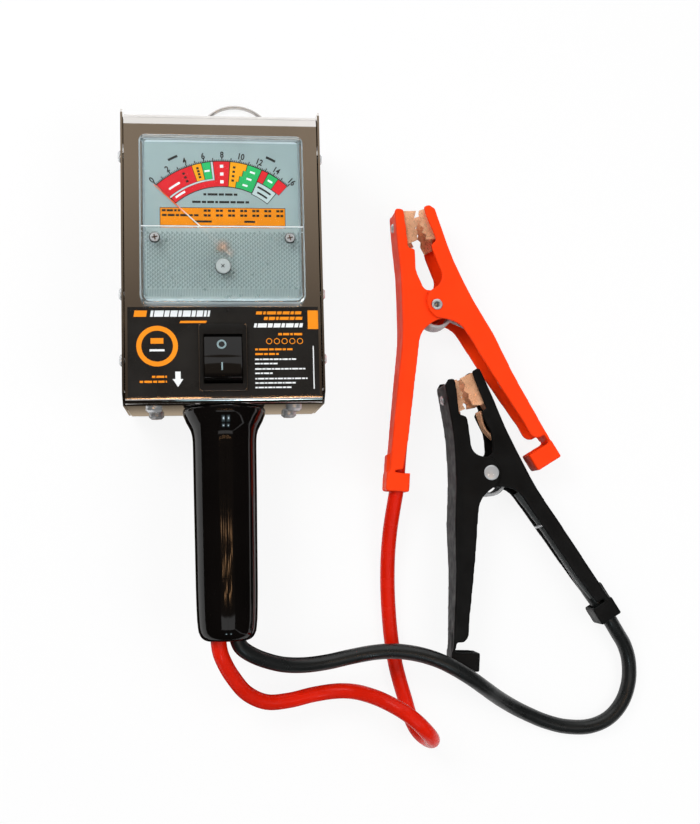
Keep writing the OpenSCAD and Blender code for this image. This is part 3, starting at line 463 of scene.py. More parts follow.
def melted_copy(node, body):
    """A copy of a CAD node whose edges have run soft, as a dipped coating does."""
    made = copy_of(node, "_dipped", FINISH[SLOTS[node]])
    grid = made.modifiers.new("grid", "REMESH")
    grid.mode = "VOXEL"
    grid.voxel_size = 0.75 * MM
    soft = made.modifiers.new("soft", "SMOOTH")
    soft.factor = 0.5
    soft.iterations = 7
    apply_modifiers(made)
    made.data.shade_smooth()
    return stand_for(made, node, body)


# ---- camera, light and floor
def make_camera():
    """The photograph's view: a 50 mm lens, nearly straight above the case."""
    data = bpy.data.cameras.new("camera")
    data.lens = 50
    data.sensor_width = 36
    place = Vector((-14.5, -104.3, 722)) * MM
    aim = Vector((80.96, -31.74, 0)) * MM
    roll = math.radians(-1.51)
    forward = (aim - place).normalized()
    flat = forward.cross(Vector((0, 1, 0))).normalized()
    upright = flat.cross(forward)
    right = flat * math.cos(roll) + upright * math.sin(roll)
    up = right.cross(forward)
    camera = linked("camera", data)
    turn = Matrix((right, up, -forward)).transposed().to_4x4()
    camera.matrix_world = Matrix.Translation(place) @ turn
    bpy.context.scene.camera = camera


def white_to(tree, paths, lit, shown):
    """Shader shown in place of lit, for the kinds of ray named in paths."""
    light = node(tree, "LightPath")
    total = light.outputs[paths[0]]
    for path in paths[1:]:
        more = node(tree, "Math")
        more.operation = "MAXIMUM"
        tree.links.new(total, more.inputs[0])
        tree.links.new(light.outputs[path], more.inputs[1])
        total = more.outputs[0]
    return mix_shaders(tree, total, lit, shown)


def make_world():
    """A white studio: plain light on the object, white where the camera or a mirror sees it."""
    world = bpy.data.worlds.new("studio")
    bpy.context.scene.world = world
    tree = new_tree(world)
    lit = tree.nodes["Background"]
    lit.inputs["Color"].default_value = (1, 1, 1, 1)
    lit.inputs["Strength"].default_value = 0.55
    shown = node(tree, "Background", Color=(1, 1, 1, 1), Strength=1)
    rays = ("Is Camera Ray", "Is Glossy Ray", "Is Transmission Ray")
    mix = white_to(tree, rays, lit.outputs[0], shown.outputs[0])
    tree.links.new(mix, tree.nodes["World Output"].inputs["Surface"])


def plane(name, w, d):
    """A flat rectangle of w by d mm round the origin."""
    w, d = w * MM / 2, d * MM / 2
    mesh = bpy.data.meshes.new(name)
    mesh.from_pydata([(-w, -d, 0), (w, -d, 0), (w, d, 0), (-w, d, 0)], [], [[0, 1, 2, 3]])
    return linked(name, mesh)


def make_floor():
    """A pale floor that keeps a soft shadow and shows nearly white."""
    floor = plane("floor", 6000, 6000)
    floor.location.z = -0.2 * MM
    made = surface("floor", (0.86, 0.86, 0.86), 0.7, vary=0.01, specular=0.1)
    tree = made.node_tree
    lit = tree.nodes["Principled BSDF"].outputs[0]
    white = node(tree, "Emission", Strength=1)
    mix = white_to(tree, ("Is Camera Ray", "Is Transmission Ray"), lit, white.outputs[0])
    share = node(tree, "MixShader", Fac=0.88)
    tree.links.new(lit, share.inputs[1])
    tree.links.new(mix, share.inputs[2])
    tree.links.new(share.outputs[0], tree.nodes["Material Output"].inputs["Surface"])
    floor.data.materials.append(made)


def make_card(name, place, size, low, high=None, span=(-1, 1), tilt=(0, 0, 0)):
    """A card that only mirrors see. Its colour runs from low to high over span, along its Y."""
    card = plane(name, *size)
    card.location = Vector(place) * MM
    card.rotation_euler = [math.radians(a) for a in tilt]
    made = bpy.data.materials.new(name)
    tree = new_tree(made)
    link = tree.links.new
    split = node(tree, "SeparateXYZ")
    link(node(tree, "TexCoord").outputs["Object"], split.inputs[0])
    share = fitted(tree, split.outputs["Y"], 0, 1, span[0] * MM, span[1] * MM)
    glow = node(tree, "Emission")
    link(ramp(tree, share, low, high or low), glow.inputs["Color"])
    link(glow.outputs[0], tree.nodes["Material Output"].inputs["Surface"])
    card.data.materials.append(made)
    for kind in ("visible_camera", "visible_diffuse", "visible_shadow"):
        setattr(card, kind, False)


def make_light(name, place, size, power):
    """A soft lamp, aimed at the middle of the scene, which mirrors don't see."""
    data = bpy.data.lights.new(name, "AREA")
    data.size = size * MM
    data.energy = power
    lamp = linked(name, data)
    lamp.location = Vector(place) * MM
    lamp.rotation_euler = (Vector((60, -40, 0)) - Vector(place)).to_track_quat("-Z", "Y").to_euler()
    lamp.visible_glossy = False


# small warm lamps on the ceiling, which show as streaks on the grip
SPARKS = ((-827, -123), (-436, -126), (-43, -127), (252, -134), (463, -140), (-318, -215),
          (-101, -205), (169, -190), (463, -175), (-43, -277), (120, -272), (292, -253))


def make_studio():
    """The pale floor, the lamps, and the dark ceiling that the polished case mirrors."""
    bpy.context.scene.view_settings.view_transform = "Standard"
    make_world()
    make_floor()
    make_card("ceiling", (20, 330, 1500), (1500, 1500), (0.054, 0.04, 0.03), (0.25, 0.2, 0.15),
              (-140, 240))
    make_card("lip_floor", (0, -367, 0.6), (140, 666), (0.012, 0.009, 0.007), (0.42, 0.34, 0.25),
              (324.5, 332.5))
    dark = (0.012, 0.01, 0.009)
    sheet = (1500, 1500)
    make_card("left_flag", (-640, 60, 760), sheet, dark, tilt=(0, 90, 0))
    make_card("right_flag", (760, 60, 760), sheet, dark, tilt=(0, 90, 0))
    make_card("front_flag", (20, -760, 760), sheet, (0.012, 0.009, 0.007), dark, (-700, 0),
              (90, 0, 0))
    for k, (x, y) in enumerate(SPARKS):
        make_card(f"spark_{k}", (x, y, 1440), (80, 20), (12, 6.5, 3))
    for name, side, glow in (("glow", 250, (0.6, 0.9, 1)), ("glow_near", 150, (2.2, 3, 3.3)),
                             ("glow_core", 70, (18, 22, 24))):
        make_card(name, (80, -748 - side / 100, 800), (side, side), glow, tilt=(90, 0, 0))
    make_light("key", (-500, 420, 900), 500, 7)
    make_light("fill", (700, -300, 900), 600, 4)


# ---- leads
PLACES = {"red": Matrix.Translation(RED_PIN),
          "black": Matrix.Translation(BLACK_PIN) @ Matrix.Rotation(math.radians(BLACK_TURN), 4, "Z")
          @ Matrix.Rotation(math.pi, 4, "Y")}
# the leads run on through the crimps
IN_CLAMP = ((-25.2, -98, 0), (-23.6, -84, 0), (-21.8, -66, 0))
RED_ROUTE = [
    (-5.4, GRIP_END + 1, 46), (-4.6, -174, 45.4), (-2.2, -181, 43), (2.6, -190, 37.6),
    (11, -201, 29.5), (23, -207.6, 23), (37, -207.8, 19), (52, -205.2, 17.4), (66, -203.6, 19),
    (77, -204, 23.4), (87, -206.4, 31), (95.5, -210, 37.8), (103, -214.4, 41.8),
    (109.8, -219.8, 43), (116, -226.2, 40.4), (120.6, -231.6, 33.4), (122.4, -234.8, 24.2),
    (120.8, -235.2, 15), (116.8, -231.4, 8), (113, -223, 5), (110, -212, 4.9), (107, -201, 4.9),
    (104.4, -189, 4.9), (102.4, -174, 4.9), (101.4, -158, 4.9), (101, -142, 5.8),
    (101.4, -124, 8), (102.8, -108, 10.8), (105, -94, 13), (106.8, -84, CLAMP_Z),
    (107.6, -77.6, CLAMP_Z)]
BLACK_ROUTE = [
    (5.4, GRIP_END + 1, 46), (7.6, -172.4, 45.4), (13.4, -177, 43.4), (22, -181.2, 39.8),
    (33, -184.6, 35.4), (46, -185.8, 31.6), (60, -184.8, 29.2), (74, -182.4, 28.4),
    (88, -180.4, 29), (101, -180, 31.4), (114, -182, 33.6), (126, -186, 34.8),
    (136, -191.2, 34.6), (146, -197.6, 32.4), (156, -204.8, 26.4), (166, -212, 18),
    (177, -219, 10.8), (188, -225, 6.4), (200, -230.4, 5), (213, -234, 4.9), (228, -234.6, 4.9),
    (241, -230, 4.9), (250.4, -220.4, 4.9), (255.4, -208, 4.9), (255.6, -195, 6.4),
    (252.2, -184.4, 9.2), (247, -176.4, 12.2), (242.3, -169.2, CLAMP_Z),
    (239.4, -164.4, CLAMP_Z)]


def make_lead(color, points):
    """One lead: a round jacket along its route, with its clamp on the far end."""
    route = smooth_route(points + [tuple(PLACES[color] @ Vector(p)) for p in IN_CLAMP], 6)
    body = None if color == "red" else "tester"
    lead = tube(color + "_lead_jacket", route, CABLE_D / 2 - 0.02, FINISH[color + "_jacket"],
                sides=28, body=body, slot=color + "_jacket", smooth=60)
    if color == "red":
        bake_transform(lead)
    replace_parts(lead, color + "_cable")
    return lead, [p * MM for p in route]


make_camera()
LEADS = {"red": make_lead("red", RED_ROUTE), "black": make_lead("black", BLACK_ROUTE)}
make_studio()
finish_cad_nodes()


# ---- meter
ARC_Y = Y_LOW + 85.8  # the dial's arcs are drawn round this point
HALF_SWEEP = 42.3
BAND_OUT, BAND_MID, BAND_IN = 55.6, 45.3, 41
DIAL_Z = DIAL[1].z
INK_Z = DIAL_Z + 0.02


def scale_angle(value):
    """The angle of a value on the dial's 0 to 16 scale."""
    return -HALF_SWEEP + 2 * HALF_SWEEP * value / 16


def dial_point(radius, value):
    a = math.radians(scale_angle(value))
    return radius * math.sin(a), ARC_Y + radius * math.cos(a)


def printed(ink, outline, layer):
    """Prints an outline on the dial; a higher layer lies over a lower one."""
    ink.prism(outline, INK_Z, INK_Z + 0.05 + 0.03 * layer)


def band(ink, inner, outer, start, end, layer=0):
    """A coloured stretch of the dial's arc, between two values."""
    steps = max(2, int((end - start) * 3))
    a, b = scale_angle(start), scale_angle(end)
    outline = arc(0, ARC_Y, outer, a, b, steps) + arc(0, ARC_Y, inner, b, a, steps)
    printed(ink, outline, layer)


def spoke(ink, inner, outer, value, width, layer=0):
    """A thin line along a radius of the dial."""
    a = math.radians(scale_angle(value))
    side = Vector((math.cos(a), -math.sin(a))) * width / 2
    near, far = (Vector(dial_point(r, value)) for r in (inner, outer))
    printed(ink, [tuple(p) for p in (near - side, near + side, far + side, far - side)], layer)


def slab(ink, x, y, w, h, z, angle=0, thick=0.06, slant=0):
    """A small plain bar, centred at x, y."""
    turn = Matrix.Rotation(math.radians(angle), 2)
    corners = [(-w / 2, -h / 2), (w / 2, -h / 2), (w / 2 + slant, h / 2), (-w / 2 + slant, h / 2)]
    outline = [tuple(turn @ Vector(c) + Vector((x, y))) for c in corners]
    ink.prism(outline, z, z + thick)


def words(ink, x0, x1, y, h, z, size=1, slant=0):
    """A bar broken up into lengths like words."""
    lengths = (4.4, 2.2, 3.5, 1.5, 5.2, 2.7, 3.9, 1.9)
    x, k = x0, int(abs(3 * x0 + 7 * y)) % len(lengths)
    while x < x1 - 0.6:
        end = min(x1, x + lengths[k] * size)
        slab(ink, (x + end) / 2, y, end - x, h, z, slant=slant)
        x, k = end + 0.62 * size, (k + 1) % len(lengths)


def make_dial_bands():
    """The coloured bands, their black outlines and the pale lines between them."""
    ink = {name: Solid() for name in ("red", "yellow", "green", "pale", "amber", "black")}
    gap, edge = 0.55, 0.5
    outer_low, short_low = BAND_MID + gap, BAND_MID + 3.2
    rows = [
        ("black", BAND_IN - edge, BAND_OUT + edge, 0, 12.6, 0),
        ("black", BAND_MID + 3, BAND_OUT + edge, 12.6, 16, 0),
        ("red", outer_low, BAND_OUT, 0.05, 4.5, 1),
        ("yellow", outer_low, BAND_OUT, 4.58, 5.62, 1),
        ("green", outer_low, BAND_OUT, 5.7, 6.66, 1),
        ("pale", BAND_MID - gap, BAND_MID + gap * 0.6, 0.2, 6.9, 1),
        ("pale", BAND_MID - gap, BAND_OUT, 6.72, 6.94, 1),
        ("red", BAND_IN, BAND_MID - gap - 0.2, 0.3, 7.05, 1),
        ("red", BAND_IN, BAND_OUT, 7.02, 8.85, 1)]
    for inner, outer, end in ((BAND_IN, 44.6, 9.95), (44.6, 48.2, 10.25), (48.2, 51.8, 10.55),
                              (51.8, BAND_OUT, 10.85)):
        rows.append(("yellow", inner, outer, 8.95, end, 1))
        rows.append(("green", inner, outer, end + 0.08, 12.55, 1))
    rows += [
        ("red", short_low, BAND_OUT, 12.65, 13.38, 1),
        ("green", short_low, BAND_OUT, 13.46, 14.66, 1),
        ("red", short_low, BAND_OUT, 14.74, 15.95, 1),
        ("black", 39.9, BAND_MID + 3, 12.62, 15.6, 0),
        ("pale", 40.3, BAND_MID + 2.7, 12.72, 15.5, 1)]
    for name, *facts in rows:
        band(ink[name], *facts)
    return ink


def make_dial_marks(ink):
    """Ticks, plain bars in place of words, and the table below the arc."""
    black = ink["black"]
    for i in range(81):
        reach, width = (2.3, 0.62) if i % 5 == 0 else (1.3, 0.44)
        spoke(black, BAND_OUT + 0.3, BAND_OUT + reach, i / 5, width)
    for value, low, high, count in ((3.35, 46.8, 54.2, 3), (5.1, 47, 54.2, 4), (9.45, 43.5, 54, 4)):
        for k in range(count):
            middle = low + (high - low) * (k + 0.5) / count
            spoke(black, middle - 0.65, middle + 0.65, value, 1.5, 2)
    marks = Solid()
    for k in range(3):
        middle = 43.6 + 4.6 * k
        spoke(marks, middle - 0.9, middle + 0.9, 7.95, 1.9, 3)
    for radius, value in ((43.6, 11.3), (47.8, 11.55), (52.2, 11.7), (52, 14.05), (50.6, 6.15)):
        spoke(marks, radius - 0.55, radius + 0.55, value, 3, 3)
    for radius in (49.2, 43.2):
        band(marks, radius - 0.6, radius + 0.6, 0.8, 2.4, 3)
    for radius, start, end in ((45.6, 13, 15.1), (42.6, 13.3, 15)):
        band(black, radius - 0.55, radius + 0.55, start, end, 3)
    for v, w in ((121.9, 20.5), (117.4, 33.5)):
        words(black, -0.6 - w / 2, -0.6 + w / 2, Y_LOW + v, 1.3, INK_Z, size=1.1)
    for sign in (-1, 1):
        band(black, 63.2, 64.6, 8 + sign * 5.45, 8 + sign * 4.45)
    top = INK_Z + 0.05
    table = round_box(-35.6, 35.9, Y_LOW + 103.6, Y_LOW + 113.9, (0.6,) * 4, 2)
    ink["amber"].prism(table, INK_Z, top)
    for x, v, w, h in ((0.15, 103.5, 71.9, 0.3), (0.15, 113.95, 71.9, 0.3),
                       (-35.65, 108.7, 0.3, 10.7), (35.95, 108.7, 0.3, 10.7)):
        slab(black, x, Y_LOW + v, w, h, INK_Z, thick=0.07)
    for row, v in enumerate((112.3, 109.5)):
        words(black, -34.6, -24.2 + row * 10.4, Y_LOW + v, 1.25, top)
        for k in range(7):
            slab(black, -9.9 + 6.95 * k, Y_LOW + v, 1.9, 1.35, top)
            slab(black, -7.7 + 6.95 * k, Y_LOW + v, 1.7, 1.35, top)
    for x, w in ((-11.6, 10.6), (15.4, 6.2)):
        slab(black, x, Y_LOW + 105.9, w, 1.2, top)
    return marks


def make_numbers():
    """The scale's plain numbers, as one thin mesh."""
    shape = bmesh.new()
    for value in range(0, 17, 2):
        curve = bpy.data.curves.new("number", "FONT")
        curve.body = str(value)
        curve.size = 4.9 * MM
        curve.align_x = "CENTER"
        curve.align_y = "CENTER"
        curve.extrude = 0.02 * MM
        curve.offset = 0.15 * MM
        text = linked("number", curve)
        bpy.context.view_layer.update()
        graph = bpy.context.evaluated_depsgraph_get()
        mesh = bpy.data.meshes.new_from_object(text.evaluated_get(graph))
        bpy.data.objects.remove(text)
        place = Matrix.Translation(Vector((*dial_point(BAND_OUT + 3.9, value), DIAL_Z + 0.06)) * MM)
        turn = Matrix.Rotation(math.radians(-scale_angle(value)), 4, "Z")
        mesh.transform(place @ turn @ Matrix.Diagonal((0.84, 1, 1, 1)))
        shape.from_mesh(mesh)
    mesh = bpy.data.meshes.new("dial_numbers")
    shape.to_mesh(mesh)
    shape.free()
    mesh.materials.append(INK["black"])
    made = linked("dial_numbers", mesh)
    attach(made, "tester")


def make_dial():
    """The printed dial: bands, ticks, plain numbers and a table."""
    ink = make_dial_bands()
    marks = make_dial_marks(ink)
    for name, shape in ink.items():
        shape.piece("dial_" + name, INK[name], slot="dial_paint", smooth=0)
    marks.piece("dial_marks", INK["white"], slot="dial_paint", smooth=0)
    make_numbers()
    for name in ("dial_numbers", "dial_marks", *("dial_" + n for n in ink)):
        bpy.data.objects[name].data.transform(Matrix.Translation((0.3 * MM, -0.65 * MM, 0)))


def make_needle():
    """The needle: orange paint that fades to white at the tip, on its hub and counterweight."""
    z = box_mm("meter_needle")[0].z + 0.4
    along = Matrix.Rotation(math.radians(REST_SWING), 3, "Z")
    shape = Solid()
    loops = []
    for y, half in ((-7, 0.7), (-3, 0.8), (0, 0.8), (8, 0.42), (30, 0.33), (52.8, 0.24)):
        ring = [(-half, y, z), (-half * 0.5, y, z + 0.42), (half * 0.5, y, z + 0.42), (half, y, z)]
        loops.append([PIVOT.xy.to_3d() + along @ Vector(p) for p in ring])
    shape.rings(loops)
    hub = Solid()
    turns = [2 * math.pi * k / 32 for k in range(32)]
    for y, r in ((0, 3), (-5.8, 1.6)):
        rings = [(r, -0.35), (r, 0.5), (r - 0.3, 0.8), (0.92, 0.8), (0.92, -0.35)]
        turned = [[PIVOT.xy.to_3d() + along @ Vector((s * math.cos(a), y + s * math.sin(a), z + h))
                   for a in turns] for s, h in rings]
        hub.rings(turned + [turned[0]], closed_ends=False)
    paint = surface("needle_fade", (0.95, 0.22, 0.03), 0.4, vary=0.04)
    tree = paint.node_tree
    reach = node(tree, "VectorMath")
    reach.operation = "DISTANCE"
    reach.inputs[1].default_value = PIVOT * MM
    tree.links.new(node(tree, "TexCoord").outputs["Object"], reach.inputs[0])
    share = fitted(tree, reach.outputs["Value"], 1, 0, 30 * MM, 38 * MM)
    fade = ramp(tree, share, (1, 0.13, 0.006), (0.86, 0.86, 0.84))
    tree.links.new(fade, tree.nodes["Principled BSDF"].inputs["Base Color"])
    needle = shape.piece("needle_blade", paint, body="movement", slot="needle_paint")
    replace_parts(needle, "meter_needle")
    dim = surface("hub_paint", (0.46, 0.27, 0.19), 0.5, vary=0.05)
    hub.piece("needle_hub", dim, body="movement", slot="needle_paint")


COVER_TOP = Z_FACE + 8.3
TIP_Z = COVER[1].z - 0.02
SCREW_X, SCREW_Y = 38.4, Y_LOW + 94.7
ZERO = joint_place("zero_adjuster_turn")
LEDGE = Y_LOW + 101


def cover_ring(inset, z):
    """The cover's outline, drawn in by inset, at height z."""
    x, y0, y1 = COVER[1].x - inset, COVER[0].y + inset, COVER[1].y - inset
    radii = [max(0.6, r - inset) for r in (4, 4, 5.5, 5.5)]
    return [(px, py, z) for px, py in round_box(-x, x, y0, y1, radii, 8)]


def pyramids(xs, ys, base, valley, tip):
    """A slab whose top is a field of small pyramids, flat along its border."""
    nx, ny = len(xs), len(ys)

    def height(i, j):
        inside = 1 < i < nx - 2 and 1 < j < ny - 2
        return tip if inside and (i + j) % 2 == 0 else valley

    points = [(x, y, height(i, j)) for j, y in enumerate(ys) for i, x in enumerate(xs)]
    points += [(x, y, base) for y in ys for x in xs]
    faces = []
    low = nx * ny
    for j in range(ny - 1):
        for i in range(nx - 1):
            a, b, c, d = j * nx + i, j * nx + i + 1, (j + 1) * nx + i + 1, (j + 1) * nx + i
            faces += [[a, b, d], [b, c, d]] if (i + j) % 2 == 0 else [[a, b, c], [a, c, d]]
            faces.append([low + d, low + c, low + b, low + a])
    edges = [(j * nx + i, j * nx + i + 1) for i in range(nx - 1) for j in (0, ny - 1)]
    edges += [(j * nx + i, (j + 1) * nx + i) for j in range(ny - 1) for i in (0, nx - 1)]
    faces += [[a, b, low + b, low + a] for a, b in edges]
    field = Solid()
    field.add(points, faces)
    return field


def make_cover():
    """The clear cover: a rounded tray, its lower half knurled with facets in painted light and shade, its rim a
    painted highlight, and a painted white highlight along the ledge above that.
    """
    z0 = Z_FACE + 0.06
    block = Solid()
    block.rings([cover_ring(i, z0 + h) for i, h in (
        (0, 0), (0, 6), (0.12, 6.9), (0.5, 7.6), (1.1, 8.05), (1.9, 8.22), (2.6, 8.24))])
    cover = block.piece("meter_cover_clear", FINISH["clear_plastic"], slot="clear_plastic",
                        smooth=0)
    xs = [-45.1] + [1.38 * (i - 32) for i in range(65)] + [45.1]
    ys = [Y_LOW + 59.4, Y_LOW + 64.8] + [Y_LOW + 66 + 1.2 * j for j in range(28)] + [LEDGE - 0.1]
    knurl = pyramids(xs, ys, Z_FACE + 6.9, COVER_TOP + 0.06, TIP_Z)
    ribs = Solid()
    tops = [(-44.1 + 0.45 * k, COVER_TOP + (0.5 if k % 2 else 0)) for k in range(197)]
    outline = [(-44.1, Z_FACE + 7.4)] + tops + [(44.1, Z_FACE + 7.4)]
    ribs.rings([[(x, Y_LOW + v, z) for x, z in outline] for v in (60.6, 64.7)])
    ridge = Solid()
    section = ((100.2, 7.2), (100.3, 8.55), (100.6, 8.84), (101.2, 8.84), (101.5, 8.5),
               (101.6, 7.2))
    ridge.rings([[(x, Y_LOW + v, Z_FACE + h) for v, h in section] for x in (-45.4, 45.4)])
    combine(cover, (knurl, ribs, ridge), "UNION")
    hollow, lower = Solid(), Solid()
    hollow.rings([cover_ring(i, z) for i, z in (
        (1.9, z0 - 1), (1.9, COVER_TOP - 3.2), (2.3, COVER_TOP - 2.3), (3.3, COVER_TOP - 1.8))])
    window = round_box(-43.4, 43.4, Y_LOW + 60.5, LEDGE, (1, 1, 1, 1), 3)
    lower.prism(window, COVER_TOP - 3, COVER_TOP - 1.5)
    wells = Solid()
    for x in (-SCREW_X, SCREW_X):
        wells.disc(3.3, 8, 11, x, SCREW_Y, Z_FACE, 32)
        wells.disc(1.5, 0, 8.4, x, SCREW_Y, Z_FACE, 24)
    wells.turn([(0, 0), (3.1, 0), (3.1, 7.8), (4.7, 7.8), (4.7, 11), (0, 11)],
               ZERO.x, ZERO.y, Z_FACE, 40)
    combine(cover, (hollow, lower, wells), "DIFFERENCE")
    cover.data.materials.clear()
    for kind in ("clear_plastic", "frosted", "shade", "veil", "rim"):
        cover.data.materials.append(FINISH[kind])
    for face in cover.data.polygons:
        x, y, z = face.center / MM
        # faces along the cover's outline take the paler, half opaque copy: a painted highlight on the rim
        if min(COVER[1].x - abs(x), y - COVER[0].y, COVER[1].y - y) < 1.4 and z > Z_FACE + 0.5:
            face.material_index = 4
            continue
        if abs(x) > 44.9 or not Y_LOW + 60 < y < LEDGE - 0.2:
            continue
        if z > COVER_TOP - 0.1:
            # knurl facets facing +X and +Y take the painted shade copy, the others the painted light copy
            tilt = face.normal.x + 0.6 * face.normal.y
            face.material_index = 2 if tilt > 0.05 else 1
        elif abs(face.normal.z) > 0.5 and z > COVER_TOP - 2.5:
            face.material_index = 3
    round_off(cover, 14)
    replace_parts(cover, "meter_cover")
    # a thin white strip along the ledge's ridge: a painted highlight
    painted_glint = Solid()
    line = round_box(-46, 46, LEDGE - 0.15, LEDGE + 0.35, (0.1,) * 4, 1)
    painted_glint.prism(line, TIP_Z - 0.06, TIP_Z)
    painted_glint.piece("meter_cover_ledge_glint", INK["white"], slot="clear_plastic", smooth=0)


def make_cover_screws():
    """The cover's two screws: bright heads with painted brown shade in the cross recess, on dark discs that paint
    the shadow and dark reflection round each head.
    """
    heads, recess, shadow_discs = Solid(), Solid(), Solid()
    top = COVER_TOP + 1.1
    for x in (-SCREW_X, SCREW_X):
        heads.turn([(0, -4.3), (1.25, -4.3), (1.25, -0.1), (2.3, -0.1), (2.62, 0.15), (2.62, 0.65),
                    (2.3, 0.98), (1.5, 1.1), (0, 1.1)], x, SCREW_Y, COVER_TOP, 40)
        # dark discs under the heads, set a little towards -Y: painted shadow and dark reflection round each head
        shadow_discs.disc(3.12, -0.28, 0.02, x, SCREW_Y - 0.1, COVER_TOP, 40)
    slot = SLOTS["cover_screws"]
    shown = heads.piece("cover_screw_heads", FINISH[slot], slot=slot)
    for x in (-SCREW_X, SCREW_X):
        for angle in (12, 102):
            cut = Solid()
            slab(cut, x, SCREW_Y, 3.4, 0.8, top - 0.55, angle, thick=0.9)
            combine(shown, [cut], "DIFFERENCE")
            # a dark brown slab in each slot of the cross: painted shade in the recess
            slab(recess, x, SCREW_Y, 3.3, 0.72, top - 1.12, angle, thick=0.6)
    recess.piece("cover_screw_recess_shade", RECESS_SHADE, slot=slot, smooth=0)
    shadow_discs.piece("cover_screw_painted_shadow", FINISH["black_plastic"], slot=slot)
    round_off(shown, 35)
    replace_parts(shown, "cover_screws")


def make_zero_adjuster():
    """The zero adjuster: a translucent disc with a small dark cross."""
    disc, cross, ring = Solid(), Solid(), Solid()
    z = COVER_TOP - 0.44
    ring.disc(4.62, -0.04, 0.06, ZERO.x, ZERO.y, z)
    ring.piece("adjuster_shadow_ring", INK["black"], slot="clear_plastic", smooth=0)
    disc.turn([(0, -2.4), (2.9, -2.4), (2.9, 0), (4.1, 0), (4.3, 0.25), (4.3, 1.2), (3.9, 1.7),
               (3.3, 1.85), (0, 1.85)], ZERO.x, ZERO.y, z)
    top = z + 1.86
    for angle in (45, 135):
        slab(cross, ZERO.x - 0.2, ZERO.y, 2.6, 0.42, top, angle, thick=0.08)
    slot = SLOTS["zero_adjuster"]
    pale = surface("adjuster_plastic", (0.4, 0.45, 0.45), 0.2, vary=0.04)
    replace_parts(disc.piece("adjuster_disc", pale, body="adjuster", slot=slot), "zero_adjuster")
    cross.piece("adjuster_cross", INK["black"], body="adjuster", slot=slot, smooth=0)


# ---- label
def make_label():
    """Plain graphics on the black label: a ring, a tab, an arrow and bars."""
    z = LABEL_TOP + 0.02
    orange, white = Solid(), Solid()

    def bar(ink, x0, x1, v0, v1, slant=0):
        slab(ink, (x0 + x1) / 2, Y_LOW + (v0 + v1) / 2, x1 - x0, v1 - v0, z, slant=slant)

    def line(ink, x0, x1, v0, v1, slant=0, size=1):
        words(ink, x0, x1, Y_LOW + (v0 + v1) / 2, v1 - v0, z, size, slant)

    def ring(ink, x, v, outer, inner, steps=48):
        ink.hoop(x, Y_LOW + v, outer, inner, z, z + 0.06, steps)

    ring(orange, -38.3, 34.4, 11.7, 8.9)
    bar(orange, -42, -34.8, 35.8, 39)
    bar(white, -42.6, -34.2, 31.4, 32.6)
    bar(orange, 47.8, 53.9, 43.9, 54.8)
    bar(orange, -51.4, -44.4, 51.3, 54.9, 0.6)
    line(white, -42.2, -8.6, 51.3, 54.9, 0.6)
    bar(orange, -25.6, -10.6, 47.6, 48.9, 0.5)
    line(orange, 17.9, 44, 52.5, 54.3, 0.4)
    line(orange, 22.4, 44.6, 49.3, 51.1, 0.4)
    line(white, 16.6, 44.6, 44.9, 47.3, 0.5)
    line(orange, 30.6, 44.4, 40.3, 41.6)
    for k in range(5):
        ring(orange, 25.3 + 4.45 * k, 36.9, 1.75, 1.35, 24)
    line(orange, 17.2, 38.6, 31.6, 32.7)
    line(orange, 17.2, 31.2, 28.9, 30)
    for end, v in ((40.8, 26.4), (30.6, 23.9), (45.8, 20.8), (27.5, 18.3), (47, 15.2),
                   (40.2, 12.7), (37.6, 10.1)):
        line(white, 17, end, v - 0.42, v + 0.42, size=0.7)
    bar(white, 50.4, 51, 9, 34)
    line(orange, -41.4, -33, 16.2, 17.4)
    line(orange, -48.2, -33, 13.4, 14.6)
    arrow = ((-28.3, 19.7), (-25.3, 19.7), (-25.3, 15.4), (-23.8, 15.4), (-26.8, 10.9),
             (-29.8, 15.4), (-28.3, 15.4))
    white.prism([(x, Y_LOW + v) for x, v in arrow], z, z + 0.06)
    for ink in (orange, white):
        ink.placed(Matrix.Translation((0.5, -0.85, 0)))
    orange.piece("label_orange", INK["orange"], slot="label_film", smooth=0)
    white.piece("label_white", INK["white"], slot="label_film", smooth=0)


# ---- rocker switch and grip
def make_switch():
    """The rocker and its bezel with softened edges, and the plain O and I marks."""
    polished_copy("switch_body", 0.5, FINISH["black_plastic"])
    polished_copy("switch_rocker", 0.7, FINISH["gloss_black"], body="rocker")
    pivot = joint_place("rocker_press")
    marks, circle, bar = Solid(), Solid(), Solid()

    def lay(mark, x, y, start, end):
        """Lays a mark on the slope from start to end, given as (y, z) from the pivot."""
        tilt = math.atan2(end[1] - start[1], end[0] - start[0])
        z = start[1] + (y - start[0]) * math.tan(tilt) + 0.02
        mark.placed(Matrix.Translation(pivot + Vector((x, y, z))) @ Matrix.Rotation(tilt, 4, "X"))
        marks.add(mark.points, mark.faces)

    circle.hoop(0, 0, 2.75, 1.75, 0, 0.12, 40)
    lay(circle, -1.45 - pivot.x, 8.2, (1, 9.1), (12.4, 6.6))
    bar.prism([(-0.42, -2.5), (0.42, -2.5), (0.42, 2.5), (-0.42, 2.5)], 0, 0.12)
    lay(bar, -1.4 - pivot.x, -4.9, (-8.6, 12.4), (-1, 9.6))
    marks.piece("rocker_marks", INK["mark"], body="rocker", slot=SLOTS["switch_rocker"], smooth=0)


# the grip's radius, by the distance from the case
GRIP = ((0, 23), (0.5, 23.7), (1.4, 24.2), (3, 24.2), (4.4, 23.9), (6, 23.2), (8, 22.4),
        (10.4, 21.1), (13, 19.75), (16, 18.95), (19, 18.65), (24, 18.55), (30, 18.5), (50, 18.4),
        (76, 18.15), (104.7, 17.9), (116, 17.65), (122.7, 17.4), (127, 17), (129.7, 16.6),
        (131.6, 15.8), (133, 14.9), (134, 13.7), (134.6, 12.4))


